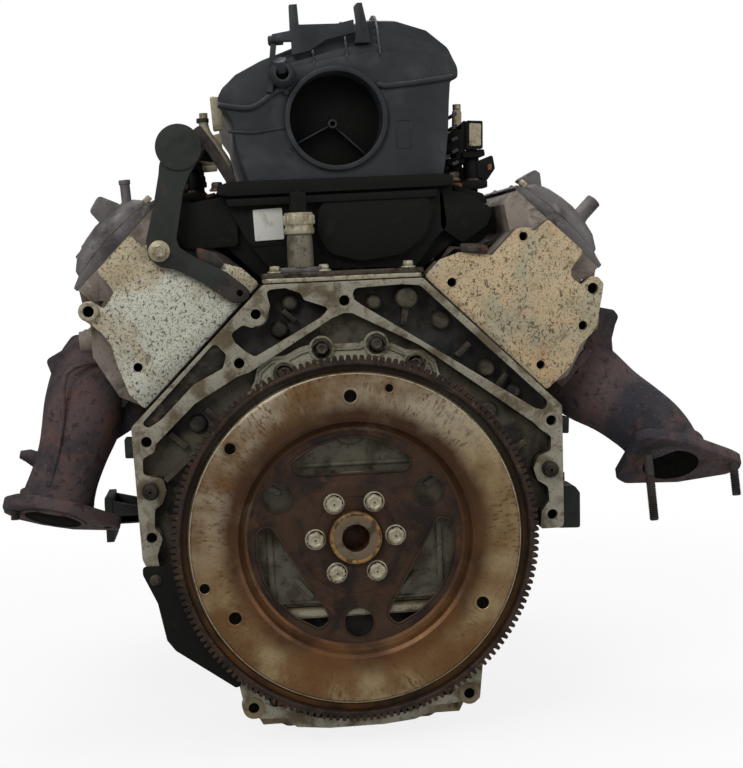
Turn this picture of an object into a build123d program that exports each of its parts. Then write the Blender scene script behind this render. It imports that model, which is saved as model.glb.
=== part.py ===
"""Complete pushrod V8 engine, with its flexplate, manifolds, heads, crank train and valve train.

The origin is on the crank axis, in the machined rear face of the block where a transmission bolts on.
X points to the right of someone facing that rear face, Y runs forward along the crank, Z is up.
On each bank of cylinders, u runs outward along the deck and v runs up the bores.
"""

from build123d import *
from math import asin, atan2, cos, degrees, radians, sin
import os

# Crank train
BORE = 96.0
STROKE = 92.0
ROD_LENGTH = 154.9
BORE_SPACING = 111.76
BANK_OFFSET = 24.1
DECK_HEIGHT = 234.7
MAIN_RADIUS = 32.5
MAIN_WIDTH = 24.0
CRANK_PIN_RADIUS = 26.67
CRANK_PIN_WIDTH = 50.0
COUNTERWEIGHT_RADIUS = 77.0
WEB_HALF_WIDTH = 38.0
FIRST_MAIN = 45.0
PIN_ANGLES = (135, 225, 45, -45)
SKIRT_BELOW_PIN = 22.0
SLIPPER_HALF_WIDTH = 29.0
RING_BELT = 29.0
WRIST_PIN_RADIUS = 12.0
ROD_WIDTH = 22.0
BIG_END_RADIUS = 35.0
RUNNING_GAP = 0.05
SNOUT_RADIUS = 19.0
SNOUT_REACH = 74.0

# Valve train
CAM_HEIGHT = 124.8
CAM_BASE_RADIUS = 19.5
CAM_LIFT = 7.1
CAM_JOURNAL_RADIUS = 27.5
CAM_SHAFT_RADIUS = 15.0
LIFTER_RADIUS = 10.7
LIFTER_LENGTH = 52.0
LIFTER_HALF_SPACING = 16.0
PUSHROD_RADIUS = 4.0
CUP_U = -68.0
VALVE_U = -26.0
VALVE_HEAD_RADIUS = 13.0
SPRING_RADIUS = 14.0
SPRING_LENGTH = 38.0
CAM_SPROCKET_RADIUS = 54.0
SPROCKET_WIDTH = 10.0
CHAIN_GAP = 1.8
CHAIN_THICKNESS = 7.0

# Block
BLOCK_LENGTH = 517.0
DECK_OUTER = 65.0
VALLEY_HALF_WIDTH = 82.0
VALLEY_FLOOR = 178.0
SKIRT_HALF_WIDTH = 132.0
SKIRT_WALL = 10.0
BORE_BOTTOM = 107.5
BAY_TOP = 92.0
PAN_RAIL = -65.0
RAIL_HALF_WIDTH = 148.0
RAIL_THICKNESS = 12.0
FLANGE_DEPTH = 28.0
POCKET_DEPTH = 20.0
FLANGE_HALF_WIDTH = 211.5
FLANGE_BOTTOM = -16.0
BELL_BOLT_X = 200.0
BELL_BOLT_TOP = 104.0
BELL_BOLT_LOW = 9.9
BELL_BOLT_HOLE = 5.2
BELL_BOSS_RADIUS = 11.5
DOWEL_X = 196.9
DOWEL_Z = 55.8
DOWEL_RADIUS = 7.9
DOWEL_BOSS_RADIUS = 15.0
DOWEL_REACH = 12.0
TOP_BOLT_Z = 232.3
SIDE_BOLT = (-105.1, 176.0)
CAP_HALF_WIDTH = 61.0
CAP_DEPTH = 56.0
MOUNT_PAD_X = 150.0
MOUNT_PAD_Y = (214.0, 318.0)
MOUNT_PAD_Z = (-34.0, 44.0)
REAR_COVER_FRONT = 14.0
REAR_COVER_REAR = 7.0

# Heads and their covers
GASKET = 1.3
HEAD_LENGTH = 482.0
HEAD_RIGHT_REAR = 14.0
HEAD_LEFT_REAR = 30.0
HEAD_HEIGHT = 127.0
COVER_RAIL_THICKNESS = 7.0
COVER_WALL = 3.0
COVER_ROOF = [(-100, 7), (-103, 25), (-95, 28), (-53, 33), (-32, 29), (-13, 23), (-4, 16), (-3, 7)]

# Flexplate
FLEXPLATE_REAR = -7.0
FLEXPLATE_THICKNESS = 3.0
FLEXPLATE_RADIUS = 170.0
HUB_BOLT_CIRCLE = 79.0
HUB_BOLTS = 6
CONVERTER_CIRCLE = 280.6
CONVERTER_BOLTS = 3
CONVERTER_HOLE = 5.6
LIGHTENING_CIRCLE = 170.8
LIGHTENING_HOLE = 14.5
RING_GEAR_TEETH = 168
RING_GEAR_RADIUS = 179.9
TOOTH_DEPTH = 4.8
RING_GEAR_INNER = 170.3
RING_GEAR_WIDTH = 11.0
PILOT_RADIUS = 25.8
PILOT_BORE = 13.7
PILOT_REACH = 14.0
PILOT_DEPTH = 30.0
CRANK_FLANGE_RADIUS = 50.0
WINDOW_OUTER = 98.0
WINDOW_INNER = 66.0
WINDOW_HALF_WIDTH = 54.0
ANNULUS_STEP = 13.0
HUB_EDGE = 114.0

# Manifolds
INTAKE_FLANGE = 270.0
INTAKE_SEAM = 345.0
INTAKE_REAR = 30.0
INTAKE_FRONT = 492.0
INTAKE_WALL = 4.0
RECESS_RADIUS = 46.0
RECESS_DEPTH = 44.0
RECESS_CENTRE = (2.0, 412.0)
THROTTLE_RADIUS = 37.5
THROTTLE_LENGTH = 60.0
THROTTLE_Z = 412.0
LOG_RADIUS = 26.0
LOG_PLACE = (97.0, 276.0)
EXHAUST_FACE = 52.0
OUTLET_RADIUS = 28.0
OUTLET_DEPTH = 36.0
NECK_HEIGHT = 30.0
NIPPLE_PLACE = (-47.0, 456.0)
THROTTLE_SHAFT = 4.0
THROTTLE_WALL = 6.0
SPIGOT_LENGTH = 20.0

# Pan and front end
PAN_BOTTOM = -205.0
PAN_WALL = 4.0
PAN_BOLT = (107.7, -166.0)
FRONT_COVER_DEPTH = 34.0
BALANCER_RADIUS = 95.0
BALANCER_WIDTH = 42.0
PUMP_HEIGHT = 165.0
PULLEY_RADIUS = 62.0
BALANCER_HUB = 27.0
PUMP_FACE = 36.0

# Brackets and small pieces
SENSOR_PLACE = (-37.0, 14.0)
LIFT_PLATE = 8.0
LIFT_BOLTS = [(-177.5, 288.0), (-101.0, 245.5)]
ARM_REACH = 262.0
BRACKET_SPACING = 48.0
BRACKET_HOLE = 5.5

# Shared clearances and directions
CLEAR = 0.4
C45 = cos(radians(45))
SIDES = {"left": -1, "right": 1}
CRANK_RADIUS = STROKE / 2
CROWN_ABOVE_PIN = DECK_HEIGHT - CRANK_RADIUS - ROD_LENGTH
REAR_PIN = FIRST_MAIN + BORE_SPACING / 2
HEAD_REARS = {"left": HEAD_LEFT_REAR, "right": HEAD_RIGHT_REAR}
HEAD_FACE = DECK_HEIGHT + GASKET
COVER_RAIL = HEAD_FACE + HEAD_HEIGHT
ROCKER_HEIGHT = COVER_RAIL + 3
SPRING_SEAT = ROCKER_HEIGHT - 6 - SPRING_LENGTH
LIFTER_U = -CAM_HEIGHT * C45
LIFTER_FOOT = CAM_HEIGHT * C45 + CAM_BASE_RADIUS + CAM_LIFT + CLEAR
REACH_AT_BOTTOM = ROD_LENGTH - CRANK_RADIUS
INTAKE_FACE = INTAKE_FLANGE / C45


# Helpers for drawing and placing
def across(y):
    """Plane across the crank: local x is X and local y is Z."""
    return Plane(origin=(0, y, 0), x_dir=(1, 0, 0), z_dir=(0, -1, 0))


def slab(shape, start, end):
    """Solid from a face drawn in X and Z, running from start to end along the engine."""
    return extrude(across(start) * shape, amount=end - start, dir=(0, 1, 0))


def bank_across(side, y):
    """Plane across the crank that is turned to one bank: local x is u and local y is v."""
    return Plane(origin=(0, y, 0), x_dir=(side * C45, 0, -C45), z_dir=(0, -side, 0))


def bank_slab(side, shape, start, end):
    """Solid from a face drawn in u and v on one bank."""
    return extrude(bank_across(side, start) * shape, amount=end - start, dir=(0, 1, 0))


def bank_point(side, u, v, y):
    """World point of a place on one bank."""
    return (side * (u + v) * C45, y, (v - u) * C45)


def bar(start, end, radius):
    """Round bar between two points."""
    axis = Vector(*end) - Vector(*start)
    round_bar = Cylinder(radius, axis.length, align=(Align.CENTER, Align.CENTER, Align.MIN))
    return Plane(origin=start, z_dir=axis) * round_bar


def prism(start, end, radius, sides=6):
    """Flat-sided bar between two points, for bolt heads and small repeated pieces."""
    axis = Vector(*end) - Vector(*start)
    face = Plane(origin=start, z_dir=axis) * RegularPolygon(radius, sides)
    return extrude(face, amount=axis.length, dir=tuple(axis.normalized()))


def disc(radius, start, end, x=0.0, z=0.0):
    """Round disc or shaft that runs along the engine."""
    return bar((x, start, z), (x, end, z), radius)


def well(start, end, radius, sides):
    """Flat-sided hole between two points that a round piece of the given radius just fits in."""
    axis = Vector(*end) - Vector(*start)
    face = Plane(origin=start, z_dir=axis) * RegularPolygon(radius, sides, major_radius=False)
    return extrude(face, amount=axis.length, dir=tuple(axis.normalized()))


def faceted(radius, start, end, x=0.0, z=0.0, sides=24):
    """Disc or shaft along the engine with many flats, for turned pieces inside the engine."""
    return prism((x, start, z), (x, end, z), radius, sides)


def faceted_hole(radius, start, end, x=0.0, z=0.0, sides=24):
    """Hole along the engine with many flats, which clears a shaft of the given radius."""
    return well((x, start, z), (x, end, z), radius, sides)


def outline(points):
    """Face with straight sides."""
    return make_face(Polyline(*points, close=True))


def mirrored(points):
    """Outline that is the same on both sides of the engine, from its right half, top first."""
    return outline(points + [(-x, z) for x, z in reversed(points)])


def cuboid(x, y, z):
    """Box from its limits along each axis, in either order."""
    limits = [sorted(pair) for pair in (x, y, z)]
    size = [high - low for low, high in limits]
    centre = [(low + high) / 2 for low, high in limits]
    return Pos(*centre) * Box(*size)


def group(pieces):
    """Several separate solids in one node."""
    return Compound(children=list(pieces))


def polar(radius, angle):
    """Point in X and Z at an angle in degrees from +X towards +Z."""
    return (radius * cos(radians(angle)), radius * sin(radians(angle)))


def save(name, shape):
    """Write one sub-part."""
    export_step(shape, f"parts/{name}.step")


# Places that several pieces share
def main_places():
    """Distance of each main journal from the rear face, rear one first."""
    return [FIRST_MAIN + BORE_SPACING * n for n in range(5)]


def pin_places():
    """Distance of each crank pin from the rear face with its angle, rear one first."""
    return [(REAR_PIN + BORE_SPACING * n, PIN_ANGLES[3 - n]) for n in range(4)]


def cylinders():
    """Number, side, distance and crank pin angle of each cylinder."""
    rows = []
    for n, (y, angle) in enumerate(pin_places()):
        rows.append((8 - 2 * n, 1, y - BANK_OFFSET / 2, angle))
        rows.append((7 - 2 * n, -1, y + BANK_OFFSET / 2, angle))
    return rows


def pin_in_bank(side, angle):
    """Place u, v of a crank pin on one bank."""
    x, z = polar(CRANK_RADIUS, angle)
    return (side * x - z) * C45, (side * x + z) * C45


def wrist_height(side, angle):
    """Distance of the piston's pin from the crank axis, along the bore."""
    u, v = pin_in_bank(side, angle)
    return v + (ROD_LENGTH**2 - u**2) ** 0.5


def bell_bosses():
    """Centre, outer radius and hole radius of each round boss on the rear flange."""
    bosses = [(0, TOP_BOLT_Z), SIDE_BOLT]
    bosses += [(s * BELL_BOLT_X, z) for s in (-1, 1) for z in (BELL_BOLT_TOP, BELL_BOLT_LOW)]
    rows = [(x, z, BELL_BOSS_RADIUS, BELL_BOLT_HOLE) for x, z in bosses]
    return rows + [(s * DOWEL_X, DOWEL_Z, DOWEL_BOSS_RADIUS, DOWEL_RADIUS) for s in (-1, 1)]


def rear_cover_bolt_places():
    """Places of the bolts round the rear cover, the four over the crank first."""
    return [(-62, 164), (-24, 186), (30, 188), (68, 167), (-108, 20), (108, 20), (-108, -48), (108, -48)]


# Engine block
def valley_top():
    """Height of the valley rails, where the decks end."""
    return 2 * DECK_HEIGHT * C45 - VALLEY_HALF_WIDTH


def deck_corner():
    """Outer lower corner of a deck in X and Z."""
    return (DECK_OUTER + DECK_HEIGHT) * C45, (DECK_HEIGHT - DECK_OUTER) * C45


def block_profile():
    """Outer section of the block in front of its rear flange."""
    foot = 150.0
    return mirrored([
        (VALLEY_HALF_WIDTH, valley_top()),
        deck_corner(),
        ((DECK_OUTER + foot) * C45, (foot - DECK_OUTER) * C45),
        (SKIRT_HALF_WIDTH, 20),
        (SKIRT_HALF_WIDTH, PAN_RAIL + RAIL_THICKNESS),
        (RAIL_HALF_WIDTH, PAN_RAIL + RAIL_THICKNESS),
        (RAIL_HALF_WIDTH, PAN_RAIL),
    ])


def rear_flange_profile():
    """Outline of the machined rear flange, without its bosses."""
    edge = FLANGE_HALF_WIDTH
    scallop = 5.0
    return mirrored([
        (VALLEY_HALF_WIDTH, valley_top()),
        (edge, deck_corner()[1]),
        (edge - scallop, (BELL_BOLT_TOP + DOWEL_Z) / 2),
        (edge, DOWEL_Z),
        (edge - scallop, (DOWEL_Z + BELL_BOLT_LOW) / 2),
        (edge, BELL_BOLT_LOW),
        (edge - 2 * scallop, FLANGE_BOTTOM),
        (SKIRT_HALF_WIDTH, FLANGE_BOTTOM),
        (SKIRT_HALF_WIDTH, PAN_RAIL),
    ])


def flange_pockets():
    """Deep cast pockets between the ribs of the rear flange and the decks."""
    right = [(30, 222), (66, 238), (84, 233), (188, 127), (180, 124)]
    left = [(-30, 222), (-66, 238), (-84, 233), (-122, 196), (-104, 190)]
    side = [(180, 36), (180, 22), (190, 26), (194, 36)]
    return [outline(points) for points in (right, left, side, [(-x, z) for x, z in side])]


def rear_recess():
    """Shallow floor of the rear face under the ribs, where the rear cover sits."""
    right = [(30, 209), (172, 113), (176, 60), (176, 18), (170, FLANGE_BOTTOM - 1), (134, PAN_RAIL - 1)]
    left = [(-134, PAN_RAIL - 1), (-170, FLANGE_BOTTOM - 1), (-176, 18), (-176, 60), (-172, 113), (-30, 209)]
    return outline(right + left)


def bay_profile():
    """Hollow of the crankcase between two bulkheads."""
    half = SKIRT_HALF_WIDTH - SKIRT_WALL
    shoulder = BORE_BOTTOM / C45
    return mirrored([
        (shoulder - BAY_TOP, BAY_TOP),
        (half, shoulder - half),
        (half, PAN_RAIL - 1),
    ])


def engine_block():
    """Cast block: two banks of bores, valley, crankcase with bulkheads, and rear flange."""
    block = slab(block_profile(), FLANGE_DEPTH, BLOCK_LENGTH)
    block += slab(rear_flange_profile(), 0, FLANGE_DEPTH)
    for s in (-1, 1):
        pad = (s * (SKIRT_HALF_WIDTH - 2), s * MOUNT_PAD_X)
        block += cuboid(pad, MOUNT_PAD_Y, MOUNT_PAD_Z)
    for pocket in flange_pockets():
        block -= slab(pocket, -1, POCKET_DEPTH)
    block -= slab(rear_recess(), -1, REAR_COVER_FRONT)
    for x, z, radius, _ in bell_bosses():
        block += faceted(radius, 0, FLANGE_DEPTH, x, z, 12)
    valley = mirrored([(70, 300), (70, 205), (46, VALLEY_FLOOR)])
    block -= slab(valley, FLANGE_DEPTH, BLOCK_LENGTH - 20)
    mains = main_places()
    half = MAIN_WIDTH / 2
    for near, far in zip(mains, mains[1:]):
        block -= slab(bay_profile(), near + half, far - half)
    caps = CAP_HALF_WIDTH + CLEAR
    block -= cuboid((-caps, caps), (-1, BLOCK_LENGTH + 1), (PAN_RAIL - 1, 0))
    block -= faceted_hole(CRANK_FLANGE_RADIUS + 8, -1, mains[0] - half)
    block -= faceted_hole(MAIN_RADIUS + RUNNING_GAP, mains[0] - MAIN_WIDTH, BLOCK_LENGTH + 1, sides=20)
    block -= faceted_hole(CAM_JOURNAL_RADIUS + RUNNING_GAP, 20, BLOCK_LENGTH + 1, 0, CAM_HEIGHT, 16)
    skirt_low = REACH_AT_BOTTOM - SKIRT_BELOW_PIN - 2
    for _, s, y, _ in cylinders():
        low = bank_point(s, 0, BORE_BOTTOM, y)
        block -= well(low, bank_point(s, 0, DECK_HEIGHT + 9, y), BORE / 2, 24)
        skirt_room = Pos(0, (skirt_low + BORE_BOTTOM) / 2) * Rectangle(BORE + 1, BORE_BOTTOM - skirt_low)
        block -= bank_slab(s, skirt_room, y - SLIPPER_HALF_WIDTH - 1, y + SLIPPER_HALF_WIDTH + 1)
    for s in (-1, 1):
        reach = LIFTER_RADIUS + 1
        gallery = Pos(LIFTER_U, DECK_HEIGHT - 60) * Rectangle(2 * reach, 150)
        block -= bank_slab(s, gallery, mains[0] + half, mains[-1] - half)
    for x, z, _, hole in bell_bosses():
        block -= disc(hole, -1, POCKET_DEPTH, x, z)
    return block


def main_bearing_caps():
    """Five caps that hold the crank up against the bulkheads."""
    caps = []
    for y in main_places():
        face = mirrored([(CAP_HALF_WIDTH, 0), (CAP_HALF_WIDTH, -34), (40, -CAP_DEPTH)])
        cap = slab(face, y - MAIN_WIDTH / 2, y + MAIN_WIDTH / 2)
        caps.append(cap - faceted_hole(MAIN_RADIUS + RUNNING_GAP, y - MAIN_WIDTH, y + MAIN_WIDTH, sides=20))
    return group(caps)


def bellhousing_dowels():
    """Locating pins pressed in the rear flange."""
    pins = []
    for s in (-1, 1):
        pin = disc(DOWEL_RADIUS, -DOWEL_REACH, 0, s * DOWEL_X, DOWEL_Z)
        pins.append(pin + faceted(DOWEL_RADIUS - RUNNING_GAP, 0, POCKET_DEPTH, s * DOWEL_X, DOWEL_Z, 12))
    return group(pins)


def rear_cover():
    """Cast plate that closes the crankcase and oil galleries round the crank flange, with two stiffening ribs."""
    face = mirrored([(20, 198), (40, 194), (84, 166), (120, 96), (126, 40), (124, PAN_RAIL)])
    plate = slab(face, REAR_COVER_REAR, REAR_COVER_FRONT)
    for s in (-1, 1):
        plate += cuboid((s * 80, s * 86), (REAR_COVER_REAR - 5, REAR_COVER_REAR), (-52, 40))
    return plate - faceted_hole(CRANK_FLANGE_RADIUS + 8, 0, 30)


def rear_main_seal():
    """Lip seal pressed in the rear cover, running on the crank flange."""
    seal = faceted_hole(CRANK_FLANGE_RADIUS + 8, REAR_COVER_REAR, REAR_COVER_FRONT)
    return seal - faceted_hole(CRANK_FLANGE_RADIUS + RUNNING_GAP, 0, 30)


# Crank train
def web_face(angle):
    """Crank web: a lobe round the pin and a counterweight sector on the other side."""
    lobe = CRANK_RADIUS + CRANK_PIN_RADIUS
    weight = [polar(COUNTERWEIGHT_RADIUS, 122 + 29 * n) for n in range(5)]
    upper = [(lobe, -14), (lobe, 14), (lobe - 14, 30), (0, WEB_HALF_WIDTH)]
    return Rot(0, 0, angle) * outline(upper + weight + [(0, -WEB_HALF_WIDTH), (lobe - 14, -30)])


def crankshaft():
    """Five main journals, four crank pins at right angles, webs, rear flange with pilot ring, front snout."""
    mains = main_places()
    half = MAIN_WIDTH / 2
    shaft = faceted(MAIN_RADIUS, mains[0] - half - 4, mains[0] + half + CLEAR, sides=20)
    for y in mains[1:]:
        shaft += faceted(MAIN_RADIUS, y - half - CLEAR, y + half + CLEAR, sides=20)
    for y, angle in pin_places():
        x, z = polar(CRANK_RADIUS, angle)
        inner = CRANK_PIN_WIDTH / 2
        outer = BORE_SPACING / 2 - half - CLEAR
        shaft += faceted(CRANK_PIN_RADIUS, y - inner, y + inner, x, z, 16)
        shaft += slab(web_face(angle), y - outer, y - inner)
        shaft += slab(web_face(angle), y + inner, y + outer)
    shaft += faceted(CRANK_FLANGE_RADIUS, FLEXPLATE_REAR + FLEXPLATE_THICKNESS, mains[0] - half - 2)
    shaft += faceted(PILOT_RADIUS, -PILOT_REACH, 10)
    shaft += faceted(SNOUT_RADIUS, mains[-1] + half, BLOCK_LENGTH + SNOUT_REACH, sides=16)
    return shaft - disc(PILOT_BORE, -PILOT_REACH - 1, PILOT_DEPTH - PILOT_REACH)


def piston(side, angle, y):
    """Slipper piston with its pin: a round ring belt, skirts on the thrust sides and a slot for the rod."""
    height = wrist_height(side, angle)
    crown = height + CROWN_ABOVE_PIN
    low = height - SKIRT_BELOW_PIN
    body = prism(bank_point(side, 0, low, y), bank_point(side, 0, crown, y), BORE / 2 - RUNNING_GAP, 20)
    tall = crown - RING_BELT - low
    for a in (-1, 1):
        flat = Pos(0, low + tall / 2) * Rectangle(BORE + 1, tall)
        body -= bank_slab(side, flat, *sorted((y + a * SLIPPER_HALF_WIDTH, y + a * BORE)))
    slot_top = height + 20
    slot = Pos(0, (low + slot_top) / 2) * Rectangle(2 * 36, slot_top - low)
    body -= bank_slab(side, slot, y - ROD_WIDTH / 2 - 1, y + ROD_WIDTH / 2 + 1)
    x, _, z = bank_point(side, 0, height, y)
    return body + faceted(WRIST_PIN_RADIUS, y - ROD_WIDTH / 2 - 1, y + ROD_WIDTH / 2 + 1, x, z, 12)


def connecting_rod(side, angle, y):
    """Forged rod from the crank pin to the piston's pin, with a straight-sided shank."""
    pin_x, pin_z = polar(CRANK_RADIUS, angle)
    x, _, z = bank_point(side, 0, wrist_height(side, angle), y)
    turn = degrees(atan2(z - pin_z, x - pin_x))
    big = BIG_END_RADIUS
    small = WRIST_PIN_RADIUS + 4
    upper = [
        (-big * 0.8, big * 0.6), (-big * 0.4, big), (big * 0.5, big), (big, 12), (ROD_LENGTH - small, 8),
        (ROD_LENGTH - small * 0.5, small), (ROD_LENGTH + small * 0.5, small), (ROD_LENGTH + small, small * 0.4),
    ]
    face = outline(upper + [(a, -b) for a, b in reversed(upper)])
    rod = slab(Pos(pin_x, pin_z) * Rot(0, 0, turn) * face, y - ROD_WIDTH / 2, y + ROD_WIDTH / 2)
    rod -= faceted_hole(CRANK_PIN_RADIUS + RUNNING_GAP, y - ROD_WIDTH, y + ROD_WIDTH, pin_x, pin_z, 16)
    return rod - faceted_hole(WRIST_PIN_RADIUS + RUNNING_GAP, y - ROD_WIDTH, y + ROD_WIDTH, x, z, 12)


# Camshaft and timing drive
def cam_lobe(angle):
    """Section of one lobe, with its nose at an angle in degrees."""
    nose = CAM_BASE_RADIUS + CAM_LIFT
    base = [polar(CAM_BASE_RADIUS, 70 + 55 * n) for n in range(5)]
    return Rot(0, 0, angle) * outline([polar(nose, -12), polar(nose, 12)] + base)


def camshaft():
    """Five journals and sixteen lobes on one shaft."""
    mains = main_places()
    half = MAIN_WIDTH / 2
    shaft = faceted(CAM_SHAFT_RADIUS, mains[0] - half, BLOCK_LENGTH + 12, 0, CAM_HEIGHT, 8)
    for y in mains:
        shaft += faceted(CAM_JOURNAL_RADIUS, y - half + 2, y + half - 2, 0, CAM_HEIGHT, 16)
    for number, _, y, _ in cylinders():
        for a in (-1, 1):
            middle = y + a * LIFTER_HALF_SPACING
            lobe = Pos(0, CAM_HEIGHT) * cam_lobe(number * 137 + a * 55)
            shaft += slab(lobe, middle - 6, middle + 6)
    return shaft


def sprocket(teeth, radius, bore, bore_sides, z):
    """Toothed wheel for the timing chain, on a shaft of the given radius."""
    points = []
    for n in range(teeth):
        points.append(polar(radius, 360 * n / teeth))
        points.append(polar(radius - 4, 360 * (n + 0.5) / teeth))
    start = BLOCK_LENGTH + 2
    wheel = slab(Pos(0, z) * outline(points), start, start + SPROCKET_WIDTH)
    return wheel - faceted(bore, start - 1, start + SPROCKET_WIDTH + 1, 0, z, bore_sides)


def timing_chain():
    """Silent chain that runs round both sprockets, as one band."""

    def band(extra):
        low = CAM_SPROCKET_RADIUS / 2 + extra
        high = CAM_SPROCKET_RADIUS + extra
        lean = degrees(asin((high - low) / CAM_HEIGHT))
        top = [polar(high, -lean + (180 + 2 * lean) * n / 10) for n in range(11)]
        bottom = [polar(low, 180 + lean + (180 - 2 * lean) * n / 6) for n in range(7)]
        return outline([(x, z + CAM_HEIGHT) for x, z in top] + bottom)

    start = BLOCK_LENGTH + 2
    return slab(band(CHAIN_GAP + CHAIN_THICKNESS) - band(CHAIN_GAP), start + 1, start + SPROCKET_WIDTH - 1)


# Valve train pieces of one cylinder
def valve_line(y, a):
    """Distance along the engine of one of a cylinder's two valves and its lifter."""
    return y + a * LIFTER_HALF_SPACING


def lifter(side, y):
    """Roller lifter that stands over its cam lobe."""
    foot = bank_point(side, LIFTER_U, LIFTER_FOOT, y)
    top = bank_point(side, LIFTER_U, LIFTER_FOOT + LIFTER_LENGTH, y)
    return prism(foot, top, LIFTER_RADIUS, 6)


def pushrod(side, y):
    """Thin rod that leans from the lifter up to the rocker arm's cup."""
    foot = bank_point(side, LIFTER_U, LIFTER_FOOT + LIFTER_LENGTH + CLEAR, y)
    top = bank_point(side, CUP_U, ROCKER_HEIGHT - 8 - CLEAR, y)
    return prism(foot, top, PUSHROD_RADIUS, 4)


def rocker_arm(side, y):
    """Arm that pivots over the head and presses the valve."""
    face = outline([
        (CUP_U - 8, ROCKER_HEIGHT - 8), (CUP_U + 8, ROCKER_HEIGHT - 8), (VALVE_U + 8, ROCKER_HEIGHT),
        (VALVE_U + 4, ROCKER_HEIGHT + 7), (CUP_U, ROCKER_HEIGHT + 9), (CUP_U - 8, ROCKER_HEIGHT),
    ])
    return bank_slab(side, face, y - 7, y + 7)


def valve(side, y):
    """Poppet valve with its head in the roof of the combustion chamber."""
    seat = HEAD_FACE + 8
    head = prism(bank_point(side, VALVE_U, seat, y), bank_point(side, VALVE_U, seat + 4, y), VALVE_HEAD_RADIUS, 8)
    top = ROCKER_HEIGHT - 4
    return head + prism(bank_point(side, VALVE_U, seat + 4, y), bank_point(side, VALVE_U, top, y), 4, 4)


def valve_spring(side, y):
    """Spring round the valve stem, as a sleeve of the spring's outer size."""
    low = bank_point(side, VALVE_U, SPRING_SEAT, y)
    high = bank_point(side, VALVE_U, ROCKER_HEIGHT - 6, y)
    return prism(low, high, SPRING_RADIUS, 6) - prism(low, high, 7, 4)


# Cylinder heads
def above_face(share):
    """Height up a bank at a share of the way from the head's lower face to the cover rail."""
    return HEAD_FACE + HEAD_HEIGHT * share


def head_end_face():
    """Outline of a head's machined end, measured on the real one."""
    right = [(-86, 0.764), (-76, 0.835), (-67, 0.843), (-67, 1), (-20, 1), (-17, 0.819), (-12, 0.783), (1, 0.783),
             (7, 0.906), (19, 0.913), (27, 0.819), (41, 0.638), (42, 0.441), (49, 0.268)]
    return outline([
        (-121, HEAD_FACE), (-121, INTAKE_FACE - 121), (-86, INTAKE_FACE - 86),
        *[(u, above_face(share)) for u, share in right], (47, HEAD_FACE),
    ])


def head_section():
    """Section of a head along its length, under the valve cover rail."""
    upper = [(-86, 0.74), (-110, 0.85), (-110, 1), (5, 1), (5, 0.858), (-6, 0.787), (22, 0.74),
             (EXHAUST_FACE - 10, 0.543), (EXHAUST_FACE, 0.205)]
    return outline([
        (-121, HEAD_FACE), (-121, INTAKE_FACE - 121), (-86, INTAKE_FACE - 86),
        *[(u, above_face(share)) for u, share in upper], (47, HEAD_FACE),
    ])


def cylinder_head(name):
    """Cast head with chambers, ports and a hollow top under the valve cover."""
    s = SIDES[name]
    rear = HEAD_REARS[name]
    front = rear + HEAD_LENGTH
    head = bank_slab(s, head_section(), rear + 14, front - 14)
    head += bank_slab(s, head_end_face(), rear, rear + 14)
    head += bank_slab(s, head_end_face(), front - 14, front)
    over = COVER_RAIL + 1
    hollow = outline([(-100, over), (-100, SPRING_SEAT + 18), (-76, SPRING_SEAT), (-8, SPRING_SEAT), (-4, over)])
    head -= bank_slab(s, hollow, rear + 22, front - 22)
    for _, side, y, _ in cylinders():
        if side != s:
            continue
        chamber = Pos(-8, HEAD_FACE) * Rectangle(74, 30)
        head -= bank_slab(s, chamber, y - 36, y + 36)
        passage = outline([(-87, HEAD_FACE - 6), (-74, HEAD_FACE - 6), (-61, COVER_RAIL - 18), (-76, COVER_RAIL - 18)])
        head -= bank_slab(s, passage, y - LIFTER_HALF_SPACING - 7, y + LIFTER_HALF_SPACING + 7)
        port = Pos(EXHAUST_FACE - 10, 276) * Rectangle(60, 26)
        head -= bank_slab(s, port, y - 18, y + 18)
        for a in (-1, 1):
            stem_low = bank_point(s, VALVE_U, HEAD_FACE, valve_line(y, a))
            stem_high = bank_point(s, VALVE_U, SPRING_SEAT + 5, valve_line(y, a))
            head -= prism(stem_low, stem_high, 5, 6)
    return head


def head_gasket(name):
    """Layered steel gasket between deck and head, open round each bore."""
    s = SIDES[name]
    rear = HEAD_REARS[name]
    sheet = Pos(-37, DECK_HEIGHT + GASKET / 2) * Rectangle(166, GASKET)
    gasket = bank_slab(s, sheet, rear, rear + HEAD_LENGTH)
    for _, side, y, _ in cylinders():
        if side == s:
            low = bank_point(s, 0, DECK_HEIGHT - 3, y)
            gasket -= well(low, bank_point(s, 0, HEAD_FACE + 3, y), BORE / 2 + 1, 16)
            passage = Pos(-81, DECK_HEIGHT) * Rectangle(14, 20)
            gasket -= bank_slab(s, passage, y - LIFTER_HALF_SPACING - 7, y + LIFTER_HALF_SPACING + 7)
    return gasket


def valve_cover(name):
    """Cast cover: a flat rail on the head and a hollow dome over the rockers."""
    s = SIDES[name]
    rear = HEAD_REARS[name] + 14
    front = HEAD_REARS[name] + HEAD_LENGTH - 14
    rail = Pos(-52.5, COVER_RAIL + COVER_RAIL_THICKNESS / 2) * Rectangle(115, COVER_RAIL_THICKNESS)
    top = COVER_RAIL + COVER_RAIL_THICKNESS
    dome = outline([(u, COVER_RAIL + rise) for u, rise in COVER_ROOF])
    cover = bank_slab(s, rail, rear, front) + bank_slab(s, dome, rear + 12, front - 8)
    middle = -53.0
    inside = outline([
        (u + (COVER_WALL if u < middle else -COVER_WALL),
         COVER_RAIL + (rise - COVER_WALL if rise > COVER_RAIL_THICKNESS else -1))
        for u, rise in COVER_ROOF
    ])
    cover -= bank_slab(s, inside, rear + 12 + COVER_WALL, front - 8 - COVER_WALL)
    return cover


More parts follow.
